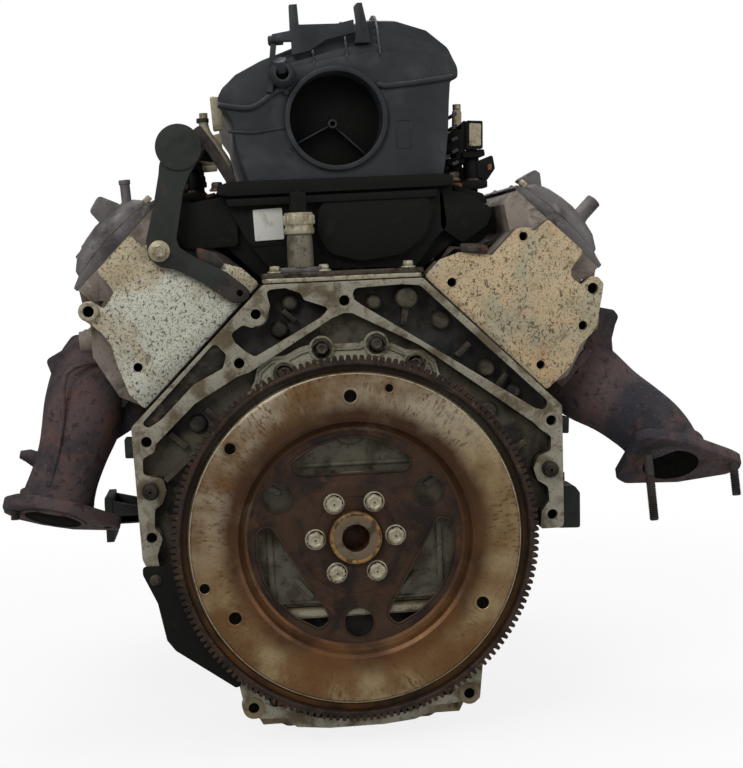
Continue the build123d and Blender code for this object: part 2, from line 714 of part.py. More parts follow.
# Flexplate and its ring gear
def dish(radius, rear, step, sides=36):
    """Solid under a stamped disc: a hub that widens in a short cone to the raised outer annulus."""
    hub = across(rear) * RegularPolygon(radius - 12, sides)
    rim = across(rear - step) * RegularPolygon(radius, sides)
    return loft([hub, rim])


def flexplate():
    """Stamped steel disc: flat hub with windows and a raised outer annulus that carries the ring gear."""
    rear = FLEXPLATE_REAR
    front = rear + FLEXPLATE_THICKNESS
    raised = rear - ANNULUS_STEP
    plate = faceted(FLEXPLATE_RADIUS, raised, raised + FLEXPLATE_THICKNESS, sides=36)
    plate += dish(HUB_EDGE, front, ANNULUS_STEP)
    plate -= dish(HUB_EDGE - 2, rear, ANNULUS_STEP)
    plate -= faceted_hole(PILOT_RADIUS + CLEAR, raised, front + 1)
    for n in range(3):
        turn = 90 + 120 * n
        window = outline([
            (WINDOW_INNER, -44), (78, -WINDOW_HALF_WIDTH), (92, -34), (WINDOW_OUTER, 0), (92, 34),
            (78, WINDOW_HALF_WIDTH), (WINDOW_INNER, 44),
        ])
        plate -= slab(Rot(0, 0, turn) * window, rear - 3, front + 3)
        x, z = polar(LIGHTENING_CIRCLE / 2, turn + 60)
        plate -= faceted_hole(LIGHTENING_HOLE, rear - 3, front + 3, x, z, 16)
    for n in range(CONVERTER_BOLTS):
        x, z = polar(CONVERTER_CIRCLE / 2, 90 + 360 * n / CONVERTER_BOLTS)
        plate -= disc(CONVERTER_HOLE, raised - 3, raised + 6, x, z)
    return plate


def ring_gear():
    """Starter ring gear, pressed on the flexplate's rim."""
    points = []
    for n in range(RING_GEAR_TEETH):
        pitch = 360 / RING_GEAR_TEETH
        points.append(polar(RING_GEAR_RADIUS, n * pitch))
        points.append(polar(RING_GEAR_RADIUS - TOOTH_DEPTH, (n + 0.5) * pitch))
    start = FLEXPLATE_REAR - ANNULUS_STEP - 3
    gear = slab(outline(points), start, start + RING_GEAR_WIDTH)
    return gear - faceted_hole(RING_GEAR_INNER, start - 1, start + RING_GEAR_WIDTH + 1, sides=36)


def flexplate_bolts():
    """Hexagon bolt heads round the pilot ring."""
    heads = []
    for n in range(HUB_BOLTS):
        x, z = polar(HUB_BOLT_CIRCLE / 2, 360 * n / HUB_BOLTS)
        heads.append(prism((x, FLEXPLATE_REAR - 9, z), (x, FLEXPLATE_REAR, z), 10))
    return group(heads)


# Oil pan, pump and covers at the bottom
def oil_pan():
    """Cast pan: rail under the block, deep sump with a flat bottom and the lower transmission flange."""
    rail_low = PAN_RAIL - 10
    rail = cuboid((-RAIL_HALF_WIDTH, RAIL_HALF_WIDTH), (0, BLOCK_LENGTH), (rail_low, PAN_RAIL))
    sump = mirrored([(126, PAN_RAIL - 2), (122, -150), (98, -190), (72, PAN_BOTTOM)])
    flange = mirrored([(134, PAN_RAIL - 2), (121, -141), (119, -176), (70, -187), (20, -193)])
    inside = mirrored([(118, PAN_RAIL + 5), (114, -146), (93, -184), (70, PAN_BOTTOM + PAN_WALL)])
    recess = mirrored([(114, rail_low - 2), (106, -146), (94, -156), (60, -174), (16, -181)])
    pan = rail + slab(sump, 14, BLOCK_LENGTH - 12) + slab(flange, 0, 16)
    pan -= slab(inside, 20, BLOCK_LENGTH - 18)
    pan -= slab(recess, -1, 12)
    for s in (-1, 1):
        pan += disc(12, 0, 16, s * PAN_BOLT[0], PAN_BOLT[1])
        pan -= disc(BELL_BOLT_HOLE, -1, 13, s * PAN_BOLT[0], PAN_BOLT[1])
    return pan


def dust_cover():
    """Thin black plate that closes the gap beside the ring gear on the left."""
    face = outline([
        (-209, -22), (-209, -27), (-189, -70), (-187, -92), (-178, -104), (-121, -147), (-116, -147), (-126, -70),
        (-126, -22),
    ])
    return slab(face, -2, 0)


def oil_pump():
    """Rotor housing round the crank snout, behind the front cover."""
    start = BLOCK_LENGTH + SPROCKET_WIDTH + 4
    body = prism((0, start, 0), (0, start + 12, 0), 46, 12)
    return body - faceted_hole(SNOUT_RADIUS + CLEAR, start - 1, start + 13, sides=16)


def cover_profile(inset):
    """Section of the front cover, drawn in by the wall where it is hollow."""
    return mirrored([
        (58 - inset, 200 - inset), (82 - inset, 150), (82 - inset, 40), (112 - inset, -10), (112 - inset, PAN_RAIL),
    ])


def front_cover():
    """Cast cover over the timing drive, with the hole for the balancer's hub."""
    start = BLOCK_LENGTH
    cover = slab(cover_profile(0), start, start + FRONT_COVER_DEPTH)
    cover -= slab(cover_profile(6), start - 1, start + FRONT_COVER_DEPTH - 6)
    return cover - faceted_hole(BALANCER_HUB + CLEAR, start, start + FRONT_COVER_DEPTH + 1, sides=16)


def harmonic_balancer():
    """Belt pulley and damper on the crank snout."""
    start = BLOCK_LENGTH + FRONT_COVER_DEPTH + 3
    wheel = faceted(BALANCER_RADIUS, start, start + BALANCER_WIDTH, sides=32)
    wheel -= faceted(BALANCER_RADIUS - 16, start + 16, start + BALANCER_WIDTH + 1, sides=32)
    wheel += faceted(BALANCER_HUB, start - 10, start + 30, sides=16)
    return wheel - faceted(SNOUT_RADIUS, start - 20, start + BALANCER_WIDTH, sides=16)


def balancer_bolt():
    """Large bolt in the end of the crank snout."""
    end = BLOCK_LENGTH + SNOUT_REACH
    return prism((0, end, 0), (0, end + 12, 0), 22)


def water_pump():
    """Coolant pump: centre housing with a leg down to the block on each side and a shaft nose."""
    start = BLOCK_LENGTH + FRONT_COVER_DEPTH + 2
    body = slab(mirrored([(38, 232), (104, 196), (104, 128), (40, 120)]), start, start + PUMP_FACE)
    for s in (-1, 1):
        body += cuboid((s * 86, s * 104), (BLOCK_LENGTH, start), (128, 196))
    nose = start + PUMP_FACE
    body += faceted(14, nose - 2, nose + 10, 0, PUMP_HEIGHT, 12)
    return body + faceted(8, nose, nose + 22, 0, PUMP_HEIGHT, 12)


def water_pump_pulley():
    """Pressed steel pulley on the pump's shaft."""
    start = BLOCK_LENGTH + FRONT_COVER_DEPTH + 2 + PUMP_FACE + 11
    wheel = faceted(PULLEY_RADIUS, start, start + 22, 0, PUMP_HEIGHT, 32)
    wheel -= faceted(PULLEY_RADIUS - 5, start + 4, start + 23, 0, PUMP_HEIGHT, 32)
    return wheel - faceted_hole(8 + RUNNING_GAP, start - 1, start + 5, 0, PUMP_HEIGHT, 12)


# Intake side
def intake_roof():
    """Outline of the plastic upper shell, with its arched top in two arcs."""
    top = [ThreePointArc((127, 462), (100, 497), (50, 509)), ThreePointArc((50, 509), (-46, 482), (-111, 440))]
    sides = Polyline((-111, 440), (-110, 404), (-104, 374), (-110, INTAKE_SEAM), (108, INTAKE_SEAM), (112, 366),
                     (117, 425), (119, 447), (127, 452), (127, 462))
    return make_face([*top, sides])


def intake_upper_shell():
    """Hollow upper half of the plastic manifold, with the deep round recess in its rear face."""
    shell = slab(intake_roof(), INTAKE_REAR, INTAKE_FRONT)
    inner = [ThreePointArc((123, 461), (97, 493), (50, 505)), ThreePointArc((50, 505), (-44, 478), (-107, 438))]
    floor = INTAKE_SEAM - 1
    sides = Polyline((-107, 438), (-106, 404), (-100, 374), (-106, floor), (104, floor), (108, 366), (113, 425),
                     (115, 449), (123, 454), (123, 461))
    shell -= slab(make_face([*inner, sides]), INTAKE_REAR + INTAKE_WALL, INTAKE_FRONT - INTAKE_WALL)
    x, z = RECESS_CENTRE
    deep = INTAKE_REAR + RECESS_DEPTH
    shell += faceted(RECESS_RADIUS + INTAKE_WALL, INTAKE_REAR - 4, deep + INTAKE_WALL, x, z, 32)
    shell -= faceted(RECESS_RADIUS, INTAKE_REAR - 5, deep, x, z, 32)
    shell -= faceted(THROTTLE_RADIUS, INTAKE_FRONT - 10, INTAKE_FRONT + 1, 0, THROTTLE_Z)
    shell += cuboid((-41, -32), (INTAKE_REAR, INTAKE_REAR + 8), (480, 524))
    shell += cuboid((-32, 16), (INTAKE_REAR, INTAKE_REAR + 8), (492, 507))
    shell += cuboid((38, 47), (INTAKE_REAR, INTAKE_REAR + 8), (500, 523))
    shell += cuboid((-61, -56), (INTAKE_REAR - 8, INTAKE_REAR + 1), (442, 480))
    nipple_x, nipple_z = NIPPLE_PLACE
    shell += faceted(12, INTAKE_REAR - 12, INTAKE_REAR + 1, nipple_x, nipple_z, 12)
    return shell + faceted(7, INTAKE_REAR - 24, INTAKE_REAR - 12, nipple_x, nipple_z, 12)


def intake_lower_shell():
    """Lower half of the manifold: a tapered trough and a runner down to each head port."""
    trough = mirrored([(110, INTAKE_SEAM), (107, 300), (84, 264)])
    inside = mirrored([(104, INTAKE_SEAM + 1), (102, 302), (81, 269)])
    shell = slab(trough, INTAKE_REAR, INTAKE_FRONT)
    for _, s, y, _ in cylinders():
        runner = outline([(s * x, z) for x, z in ((100, 344), (122, 344), (164, 306), (147, INTAKE_FLANGE),
                                                  (96, INTAKE_FLANGE), (96, 300))])
        shell += slab(runner, y - 30, y + 30)
    shell -= slab(inside, INTAKE_REAR + INTAKE_WALL, INTAKE_FRONT - INTAKE_WALL)
    for _, s, y, _ in cylinders():
        shell -= cuboid((s * 90, s * 140), (y - 22, y + 22), (INTAKE_FLANGE + 24, INTAKE_FLANGE + 58))
        shell -= cuboid((s * 112, s * 140), (y - 22, y + 22), (INTAKE_FLANGE - 1, INTAKE_FLANGE + 30))
    return shell


def fuel_rails():
    """Square fuel rail along each side of the manifold, on brackets."""
    rails = []
    for s in (-1, 1):
        rail = cuboid((s * 134, s * 152), (58, 470), (383, 401))
        for y in (110, 410):
            rail += cuboid((s * 118, s * 134), (y - 9, y + 9), (389, 395))
        rails.append(rail)
    return group(rails)


def fuel_injectors():
    """Injector between the rail and each runner."""
    return group(
        prism((s * 143, y, 333), (s * 143, y, 383), 8, 6) for _, s, y, _ in cylinders()
    )


def throttle_body():
    """Round casting on the manifold's front end."""
    start = INTAKE_FRONT
    spigot = start + THROTTLE_LENGTH - SPIGOT_LENGTH
    body = prism((0, start, THROTTLE_Z), (0, start + 10, THROTTLE_Z), 60, 8)
    body += faceted(THROTTLE_RADIUS + THROTTLE_WALL + 4, start, spigot, 0, THROTTLE_Z, 24)
    body += disc(THROTTLE_RADIUS + THROTTLE_WALL, start, start + THROTTLE_LENGTH, 0, THROTTLE_Z)
    body += cuboid((THROTTLE_RADIUS, 74), (start, start + 16), (THROTTLE_Z - 26, THROTTLE_Z + 26))
    body += cuboid((THROTTLE_RADIUS, 60), (start + 16, spigot), (THROTTLE_Z - 16, THROTTLE_Z + 16))
    body -= faceted_hole(THROTTLE_RADIUS, start - 1, start + THROTTLE_LENGTH + 1, 0, THROTTLE_Z)
    shaft_y = start + THROTTLE_LENGTH / 2
    return body - well((-50, shaft_y, THROTTLE_Z), (60, shaft_y, THROTTLE_Z), THROTTLE_SHAFT + RUNNING_GAP, 8)


def throttle_plate():
    """Butterfly plate on its cross shaft."""
    y = INTAKE_FRONT + THROTTLE_LENGTH / 2
    plate = faceted(THROTTLE_RADIUS - 0.3, y - 1, y + 1, 0, THROTTLE_Z)
    return plate + prism((-THROTTLE_RADIUS - 8, y, THROTTLE_Z), (56, y, THROTTLE_Z), THROTTLE_SHAFT, 8)


def valley_cover():
    """Cover plate over the lifter valley, with the pad of the pressure sensor."""
    half = VALLEY_HALF_WIDTH - 6
    plate = cuboid((-half, half), (2, BLOCK_LENGTH - 6), (valley_top(), valley_top() + 6))
    return plate + cuboid((-60, -8), (2, 30), (valley_top() + 6, valley_top() + 12))


def oil_pressure_sensor():
    """Sensor that stands on the rear of the valley cover."""
    x, y = SENSOR_PLACE
    low = valley_top() + 12
    sensor = prism((x, y, low), (x, y, 298), 13, 12) + prism((x, y, 298), (x, y, 320), 14.5, 12)
    return sensor + prism((x, y, 320), (x, y, 339), 9, 8)


# Exhaust side
def exhaust_manifold(name):
    """Cast iron log: a flange and stub at each port, the long log, an elbow and its outlet flange."""
    s = SIDES[name]
    log_u, log_v = LOG_PLACE
    rows = [y for _, side, y, _ in cylinders() if side == s]
    x, _, z = bank_point(s, log_u, log_v, 0)
    log = faceted(LOG_RADIUS, rows[0] - 8, rows[-1] + 20, x, z, 12)
    for y in rows:
        face = Pos(EXHAUST_FACE + 5, log_v) * Rectangle(10, 46)
        log += bank_slab(s, face, y - 32, y + 32)
        stub = Pos((EXHAUST_FACE + log_u) / 2, log_v) * Rectangle(log_u - EXHAUST_FACE, 34)
        log += bank_slab(s, stub, y - 23, y + 23)
    start, bend, outlet, direction = elbow_places(name, rows[0])
    log += prism(start, bend, LOG_RADIUS + 8, 12)
    neck = (outlet[0], outlet[1], outlet[2] + NECK_HEIGHT)
    log += prism(bend, neck, LOG_RADIUS + 8, 12) + prism(neck, outlet, LOG_RADIUS + 8, 12)
    axis = Vector(*direction)
    face_plane = Plane(origin=outlet, x_dir=(1, 0, 0), z_dir=direction)
    flange = outline([(-64, -14), (-30, -44), (30, -44), (64, -14), (58, 30), (20, 46), (-20, 46), (-58, 30)])
    log += extrude(face_plane * flange, amount=12, dir=tuple(-axis))
    hole = Vector(*outlet) - axis * OUTLET_DEPTH
    return log - bar(tuple(hole), tuple(Vector(*outlet) + axis), OUTLET_RADIUS)


def elbow_places(name, rear_port):
    """Start, bend, outlet centre and outlet direction of a manifold's elbow."""
    if name == "left":
        return (-268, rear_port - 6, 150), (-278, rear_port - 22, 112), (-292, rear_port - 34, 30), (0, 0, -1)
    return (266, rear_port - 4, 130), (318, rear_port - 16, 118), (350, rear_port - 30, 36), (0, 0, -1)


def exhaust_studs():
    """Studs that stand out of both outlet flanges."""
    studs = []
    for name in SIDES:
        rear_port = min(y for _, side, y, _ in cylinders() if side == SIDES[name])
        _, _, (x, y, z), _ = elbow_places(name, rear_port)
        for a in (-1, 1):
            studs.append(prism((x + a * 50, y, z - 34), (x + a * 50, y, z), 5))
    return group(studs)


def spark_plugs():
    """Plug in each head, beside its port."""
    plugs = []
    for _, s, y, _ in cylinders():
        foot = bank_point(s, 33, 317, y + 26)
        plugs.append(prism(foot, bank_point(s, 60, 338.6, y + 26), 9))
    return group(plugs)


# Brackets and fasteners
def lift_bracket():
    """Black steel lifting plate on the rear of the left head, with a round upper lug."""
    face = outline([
        (-174, 376), (-191, 298), (-187, 276), (-162, 268), (-138, 256), (-109, 236), (-94, 240), (-90, 249),
        (-113, 265), (-140, 277), (-158, 292), (-140, 372),
    ])
    face += Pos(-153.5, 388) * RegularPolygon(22, 16)
    return slab(face, HEAD_LEFT_REAR - LIFT_PLATE, HEAD_LEFT_REAR)


def lift_bracket_bolts():
    """Flanged bolts of the lifting plate."""
    rear = HEAD_LEFT_REAR - LIFT_PLATE
    return group(prism((x, rear - 8, z), (x, rear, z), 9) for x, z in LIFT_BOLTS)


def rear_cover_bolts():
    """Bolt heads round the rear cover."""
    places = rear_cover_bolt_places()
    return group(prism((x, REAR_COVER_REAR - 6, z), (x, REAR_COVER_REAR, z), 7) for x, z in places)


def valley_cover_bolts():
    """Bolt heads along both edges of the valley cover."""
    top = valley_top() + 6
    places = [(x, y) for x in (-70, 70) for y in (22, 180, 340, 490)]
    return group(prism((x, y, top), (x, y, top + 6), 7) for x, y in places)


def valve_cover_bolts():
    """Bolt heads on the rails of both valve covers."""
    top = COVER_RAIL + COVER_RAIL_THICKNESS
    heads = []
    for name, s in SIDES.items():
        for share in (0.05, 0.95):
            y = HEAD_REARS[name] + HEAD_LENGTH * share
            heads.append(prism(bank_point(s, -107, top, y), bank_point(s, -107, top + 6, y), 5))
    return group(heads)


def engine_mount_brackets():
    """Steel bracket on each mount pad, with an upright end plate for the rubber mount."""
    brackets = []
    middle = sum(MOUNT_PAD_Y) / 2
    for s in (-1, 1):
        bracket = cuboid((s * MOUNT_PAD_X, s * (MOUNT_PAD_X + 8)), MOUNT_PAD_Y, MOUNT_PAD_Z)
        bracket += cuboid((s * (MOUNT_PAD_X + 8), s * ARM_REACH), (middle - 36, middle + 36), (-12, -2))
        bracket += cuboid((s * (ARM_REACH - 8), s * ARM_REACH), (middle - 36, middle + 36), (-32, 18))
        for a in (-1, 1):
            y = middle + a * BRACKET_SPACING / 2
            bracket -= bar((s * (ARM_REACH - 10), y, 8), (s * (ARM_REACH + 2), y, 8), BRACKET_HOLE)
        brackets.append(bracket)
    return group(brackets)


def per_valve(make):
    """One piece for each of the sixteen valves."""
    return group(make(s, valve_line(y, a)) for _, s, y, _ in cylinders() for a in (-1, 1))


def build_all():
    """Write every sub-part."""
    simple = [
        engine_block, main_bearing_caps, bellhousing_dowels, rear_cover, rear_main_seal, rear_cover_bolts, crankshaft,
        camshaft, timing_chain, flexplate, ring_gear, flexplate_bolts, oil_pan, dust_cover, oil_pump, front_cover,
        harmonic_balancer, balancer_bolt, water_pump, water_pump_pulley, intake_upper_shell, intake_lower_shell,
        fuel_rails, fuel_injectors, throttle_body, throttle_plate, valley_cover, valley_cover_bolts,
        oil_pressure_sensor, exhaust_studs, spark_plugs, lift_bracket, lift_bracket_bolts, valve_cover_bolts,
        engine_mount_brackets,
    ]
    for make in simple:
        save(make.__name__, make())
    for name in SIDES:
        save(f"cylinder_head_{name}", cylinder_head(name))
        save(f"head_gasket_{name}", head_gasket(name))
        save(f"valve_cover_{name}", valve_cover(name))
        save(f"exhaust_manifold_{name}", exhaust_manifold(name))
    save("cam_sprocket", sprocket(24, CAM_SPROCKET_RADIUS, CAM_SHAFT_RADIUS, 8, CAM_HEIGHT))
    save("crank_sprocket", sprocket(12, CAM_SPROCKET_RADIUS / 2, SNOUT_RADIUS, 16, 0))
    save("lifters", per_valve(lifter))
    save("pushrods", per_valve(pushrod))
    save("rocker_arms", per_valve(rocker_arm))
    save("valves", per_valve(valve))
    save("valve_springs", per_valve(valve_spring))
    for number, s, y, angle in cylinders():
        save(f"piston_{number}", piston(s, angle, y))
    save("connecting_rods", group(connecting_rod(s, angle, y) for _, s, y, angle in cylinders()))


os.makedirs("parts", exist_ok=True)
build_all()
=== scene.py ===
"""Looks of a complete pushrod V8 engine, seen from its flexplate end, around its fixed frame.

Shapes are drawn in millimetres. The origin is on the crank axis in the machined rear face of the block,
X points right for someone who faces that face, Y runs forward along the crank and Z is up. On a bank of
cylinders, u runs outward along the deck and v runs up the bores.
"""

import logging
from dataclasses import dataclass
from enum import Enum
from math import cos, pi, radians, sin, tan, tau
from typing import Callable, Optional, Sequence

import bmesh
import bpy
from mathutils import Matrix, Vector

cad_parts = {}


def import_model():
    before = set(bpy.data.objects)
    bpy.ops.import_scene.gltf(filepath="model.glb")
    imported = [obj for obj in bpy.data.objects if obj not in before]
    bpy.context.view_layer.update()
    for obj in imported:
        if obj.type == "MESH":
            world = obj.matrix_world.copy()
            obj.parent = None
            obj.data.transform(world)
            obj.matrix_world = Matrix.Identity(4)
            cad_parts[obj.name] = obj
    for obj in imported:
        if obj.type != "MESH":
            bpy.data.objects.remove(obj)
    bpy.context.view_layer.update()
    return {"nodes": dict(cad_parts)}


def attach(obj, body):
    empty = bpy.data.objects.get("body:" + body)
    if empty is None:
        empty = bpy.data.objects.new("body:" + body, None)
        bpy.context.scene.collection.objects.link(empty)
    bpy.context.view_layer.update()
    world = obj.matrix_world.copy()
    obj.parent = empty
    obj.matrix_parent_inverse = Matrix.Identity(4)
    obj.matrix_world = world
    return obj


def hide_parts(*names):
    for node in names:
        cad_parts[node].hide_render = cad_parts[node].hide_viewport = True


LOG = logging.getLogger("engine")
MM = 0.001
C45 = cos(radians(45))
BORE_SPACING = 111.76
BANK_CYLINDERS = 4
Point = Sequence[float]
Outline = Sequence[Point]
Screen = tuple[int, int, int]
Colour = tuple[float, float, float]
Place = Callable[[float, float, float], Vector]


class Side(Enum):
    """A bank of cylinders, by the sign of its X."""

    LEFT = -1
    RIGHT = 1

    @property
    def label(self) -> str:
        """Word for the side in names."""
        return self.name.lower()

    @property
    def cylinders(self) -> list[float]:
        """Distance of each cylinder's centre from the rear face, because one bank sits ahead of the other."""
        first = 88.85 if self is Side.RIGHT else 112.95
        return [first + BORE_SPACING * n for n in range(BANK_CYLINDERS)]


class Grain(Enum):
    """Kind of fine relief on a surface."""

    CAST = "cast"
    BRUSHED = "brushed"
    MOULDED = "moulded"
    SMOOTH = "smooth"


def linear(value: int) -> float:
    """Linear share of light from one eight-bit value of a screen."""
    share = value / 255
    return share / 12.92 if share <= 0.04045 else ((share + 0.055) / 1.055) ** 2.4


def tone(red: int, green: int, blue: int) -> Colour:
    """Linear colour from the eight-bit values that a screen shows."""
    return linear(red), linear(green), linear(blue)


class Channel:
    """A number in a shader that Python's operators extend with Math nodes."""

    def __init__(self, graph: "Graph", socket: bpy.types.NodeSocket) -> None:
        """Keep the graph and the socket that holds the number."""
        self.graph = graph
        self.socket = socket

    def _math(self, operation: str, first: object, second: object) -> "Channel":
        """Add one Math node on two numbers."""
        node = self.graph.node("ShaderNodeMath", {"operation": operation}, {0: first, 1: second})
        return Channel(self.graph, node.outputs[0])

    def __add__(self, other: object) -> "Channel":
        """Sum with a number or channel."""
        return self._math("ADD", self, other)

    __radd__ = __add__

    def __sub__(self, other: object) -> "Channel":
        """Difference from a number or channel."""
        return self._math("SUBTRACT", self, other)

    def __rsub__(self, other: object) -> "Channel":
        """Number or channel less this one."""
        return self._math("SUBTRACT", other, self)

    def __mul__(self, other: object) -> "Channel":
        """Product with a number or channel."""
        return self._math("MULTIPLY", self, other)

    __rmul__ = __mul__

    def __truediv__(self, other: object) -> "Channel":
        """Quotient by a number or channel."""
        return self._math("DIVIDE", self, other)

    def __pow__(self, other: object) -> "Channel":
        """Power of a number or channel."""
        return self._math("POWER", self, other)

    def least(self, other: object) -> "Channel":
        """Smaller of this and another."""
        return self._math("MINIMUM", self, other)

    def most(self, other: object) -> "Channel":
        """Larger of this and another."""
        return self._math("MAXIMUM", self, other)

    def step(self, low: float, high: float) -> "Channel":
        """Smooth rise from 0 at low to 1 at high, or a fall where low is the larger.

        Args:
            low, high: where the rise starts and ends.

        Returns:
            The share between 0 and 1.
        """
        flip = low > high
        bounds = {1: min(low, high), 2: max(low, high), 3: 1.0 if flip else 0.0, 4: 0.0 if flip else 1.0}
        node = self.graph.node("ShaderNodeMapRange", {"interpolation_type": "SMOOTHSTEP"}, {0: self, **bounds})
        return Channel(self.graph, node.outputs[0])


class Graph:
    """The node tree of one material, with its surface shader."""

    def __init__(self, name: str) -> None:
        """Make an empty material with a shader and its output.

        Args:
            name: name of the material.
        """
        self.material = bpy.data.materials.new(name)
        self.material.use_nodes = True
        self.tree = self.material.node_tree
        self.tree.nodes.clear()
        self.surface = self.node("ShaderNodeBsdfPrincipled")
        output = self.node("ShaderNodeOutputMaterial")
        self.tree.links.new(self.surface.outputs[0], output.inputs["Surface"])
        self.place = self.node("ShaderNodeTexCoord").outputs["Object"]

    def node(self, kind: str, settings: Optional[dict] = None, inputs: Optional[dict] = None) -> bpy.types.Node:
        """Add a node, its settings first and then the values or links of its sockets.

        Args:
            kind: the node's type.
            settings: attributes of the node by name.
            inputs: a value, socket or channel for each input, by name or number.

        Returns:
            The node.
        """
        node = self.tree.nodes.new(kind)
        for key, value in (settings or {}).items():
            setattr(node, key, value)
        for key, value in (inputs or {}).items():
            self.feed(node.inputs[key], value)
        return node

    def feed(self, socket: bpy.types.NodeSocket, value: object) -> None:
        """Set a socket from a value, a socket or a channel.

        Args:
            socket: input to set.
            value: constant, socket or channel.
        """
        if isinstance(value, Channel):
            value = value.socket
        if isinstance(value, bpy.types.NodeSocket):
            self.tree.links.new(value, socket)
        elif socket.type == "RGBA" and len(value) == 3:
            socket.default_value = (*value, 1.0)
        else:
            socket.default_value = value

    def noise(self, scale: float, detail: float = 4.0, rough: float = 0.55, twist: float = 0.0,
              where: Optional[bpy.types.NodeSocket] = None) -> Channel:
        """Fractal noise over the object, between 0 and 1.

        Args:
            scale, detail, rough, twist: the settings of the noise.
            where: coordinates, if not those of the object.

        Returns:
            The noise.
        """
        inputs = {"Vector": where or self.place, "Scale": scale, "Detail": detail, "Roughness": rough,
                  "Distortion": twist}
        return Channel(self, self.node("ShaderNodeTexNoise", {"noise_dimensions": "3D"}, inputs).outputs[0])

    def stretched(self, scale: Point) -> bpy.types.NodeSocket:
        """Object coordinates scaled unevenly, for streaks."""
        return self.node("ShaderNodeMapping", {}, {"Vector": self.place, "Scale": tuple(scale)}).outputs[0]

    def mix(self, mask: object, low: object, high: object) -> bpy.types.NodeSocket:
        """Colour between low, where the mask is 0, and high, where it is 1.

        Args:
            mask: share of the second colour.
            low, high: the two colours.

        Returns:
            The mixed colour.
        """
        node = self.node("ShaderNodeMix", {"data_type": "RGBA"}, {"Factor": mask})
        self.feed(node.inputs[6], low)
        self.feed(node.inputs[7], high)
        return node.outputs[2]

    def axes(self) -> tuple[Channel, Channel, Channel]:
        """Object coordinates X, Y and Z in metres."""
        split = self.node("ShaderNodeSeparateXYZ", {}, {0: self.place})
        return tuple(Channel(self, socket) for socket in split.outputs)

    def relief(self, height: Channel, depth: float) -> None:
        """Raise the surface by a height between 0 and 1, times a depth in metres."""
        bump = self.node("ShaderNodeBump", {}, {"Strength": 1.0, "Distance": depth, "Height": height})
        self.tree.links.new(bump.outputs[0], self.surface.inputs["Normal"])


@dataclass(frozen=True)
class Layer:
    """Stain or speck over a base colour, where a noise passes from low to high."""

    colour: Screen
    scale: float
    low: float
    high: float
    stretch: Point = (1, 1, 1)
    detail: float = 5.0
    amount: float = 1.0


@dataclass(frozen=True)
class Finish:
    """One surface finish: base colour, stains over it, optional painted shade round the crank axis, gloss and fine
    relief.
    """

    name: str
    base: Screen
    layers: tuple[Layer, ...] = ()
    roughness: tuple[float, float] = (0.5, 0.7)
    metallic: float = 0.0
    grain: Grain = Grain.CAST
    depth: float = 0.0006
    grain_scale: float = 900.0
    specular: float = 0.4
    # Radius in metres round the crank axis inside which painted shade darkens the colour; 0 leaves it out.
    dark_within: float = 0.0

    def build(self) -> bpy.types.Material:
        """Make the material, once for each name.

        Returns:
            The material.
        """
        known = bpy.data.materials.get(self.name)
        if known:
            return known
        graph = Graph(self.name)
        colour: object = tone(*self.base)
        for layer in self.layers:
            where = graph.stretched(layer.stretch) if tuple(layer.stretch) != (1, 1, 1) else None
            mask = graph.noise(layer.scale, layer.detail, 0.62, 0.4, where).step(layer.low, layer.high)
            colour = graph.mix(mask * layer.amount, colour, tone(*layer.colour))
        # Painted shade: darker brown inside a radius of the crank axis, for the shade behind the flexplate.
        if self.dark_within:
            x, _, z = graph.axes()
            near = ((x * x + z * z) ** 0.5).step(self.dark_within, self.dark_within - 0.03)
            colour = graph.mix(near * 0.62, colour, tone(44, 38, 29))
        graph.feed(graph.surface.inputs["Base Color"], colour)
        graph.surface.inputs["Metallic"].default_value = self.metallic
        graph.surface.inputs["Specular IOR Level"].default_value = self.specular
        gloss = graph.noise(60.0, 5.0)
        low, high = self.roughness
        graph.feed(graph.surface.inputs["Roughness"], gloss.step(0.3, 0.7) * (high - low) + low)
        self.roughen(graph)
        return graph.material

    def roughen(self, graph: Graph) -> None:
        """Add the fine relief that the grain names.

        Args:
            graph: graph of the material.
        """
        if self.grain is Grain.SMOOTH:
            return
        if self.grain is Grain.BRUSHED:
            height = graph.noise(self.grain_scale, 3.0, 0.5, 0.0, graph.stretched((1, 1, 0.04)))
        elif self.grain is Grain.MOULDED:
            height = graph.noise(self.grain_scale, 2.0, 0.5)
        else:
            height = graph.noise(self.grain_scale, 3.0, 0.6) * 0.5 + graph.noise(self.grain_scale / 7, 4.0) * 0.5
        graph.relief(height, self.depth)


RUST = (112, 66, 38)
OIL = (36, 31, 26)
GRIME = (52, 46, 38)

BLOCK_CAST = Finish("block_cast", (84, 78, 64), (
    Layer(OIL, 22, 0.42, 0.62), Layer((120, 104, 74), 55, 0.55, 0.72, amount=0.6), Layer(OIL, 260, 0.56, 0.7,
                                                                                         amount=0.6),
), (0.45, 0.75), 0.15)
# Dark cast colour of deep pocket floors, with stains over it: painted shade in the recesses.
POCKET_SHADE = Finish("block_pocket", (44, 41, 36), (
    Layer((20, 19, 18), 30, 0.4, 0.6), Layer((84, 74, 56), 60, 0.56, 0.72, amount=0.5),
), (0.5, 0.8), 0.1)
BLOCK_MACHINED = Finish("block_machined", (170, 165, 148), (
    Layer((112, 102, 80), 30, 0.44, 0.62), Layer((92, 74, 52), 90, 0.56, 0.7, amount=0.75),
    Layer((74, 66, 54), 420, 0.57, 0.66, detail=3.0, amount=0.6),
), (0.32, 0.5), 0.55, Grain.BRUSHED, 0.00015)
HEAD_LEFT = Finish("head_left_machined", (214, 214, 199), (
    Layer((188, 174, 142), 14, 0.42, 0.62), Layer((208, 208, 194), 50, 0.55, 0.7, amount=0.7),
    Layer((66, 62, 54), 330, 0.585, 0.63, (1, 1, 0.75), 2.0, 0.85),
    Layer((104, 96, 80), 620, 0.545, 0.62, detail=2.0, amount=0.7), Layer((108, 96, 76), 90, 0.6, 0.74, amount=0.7),
), (0.45, 0.65), 0.25, Grain.CAST, 0.0002, 1400)
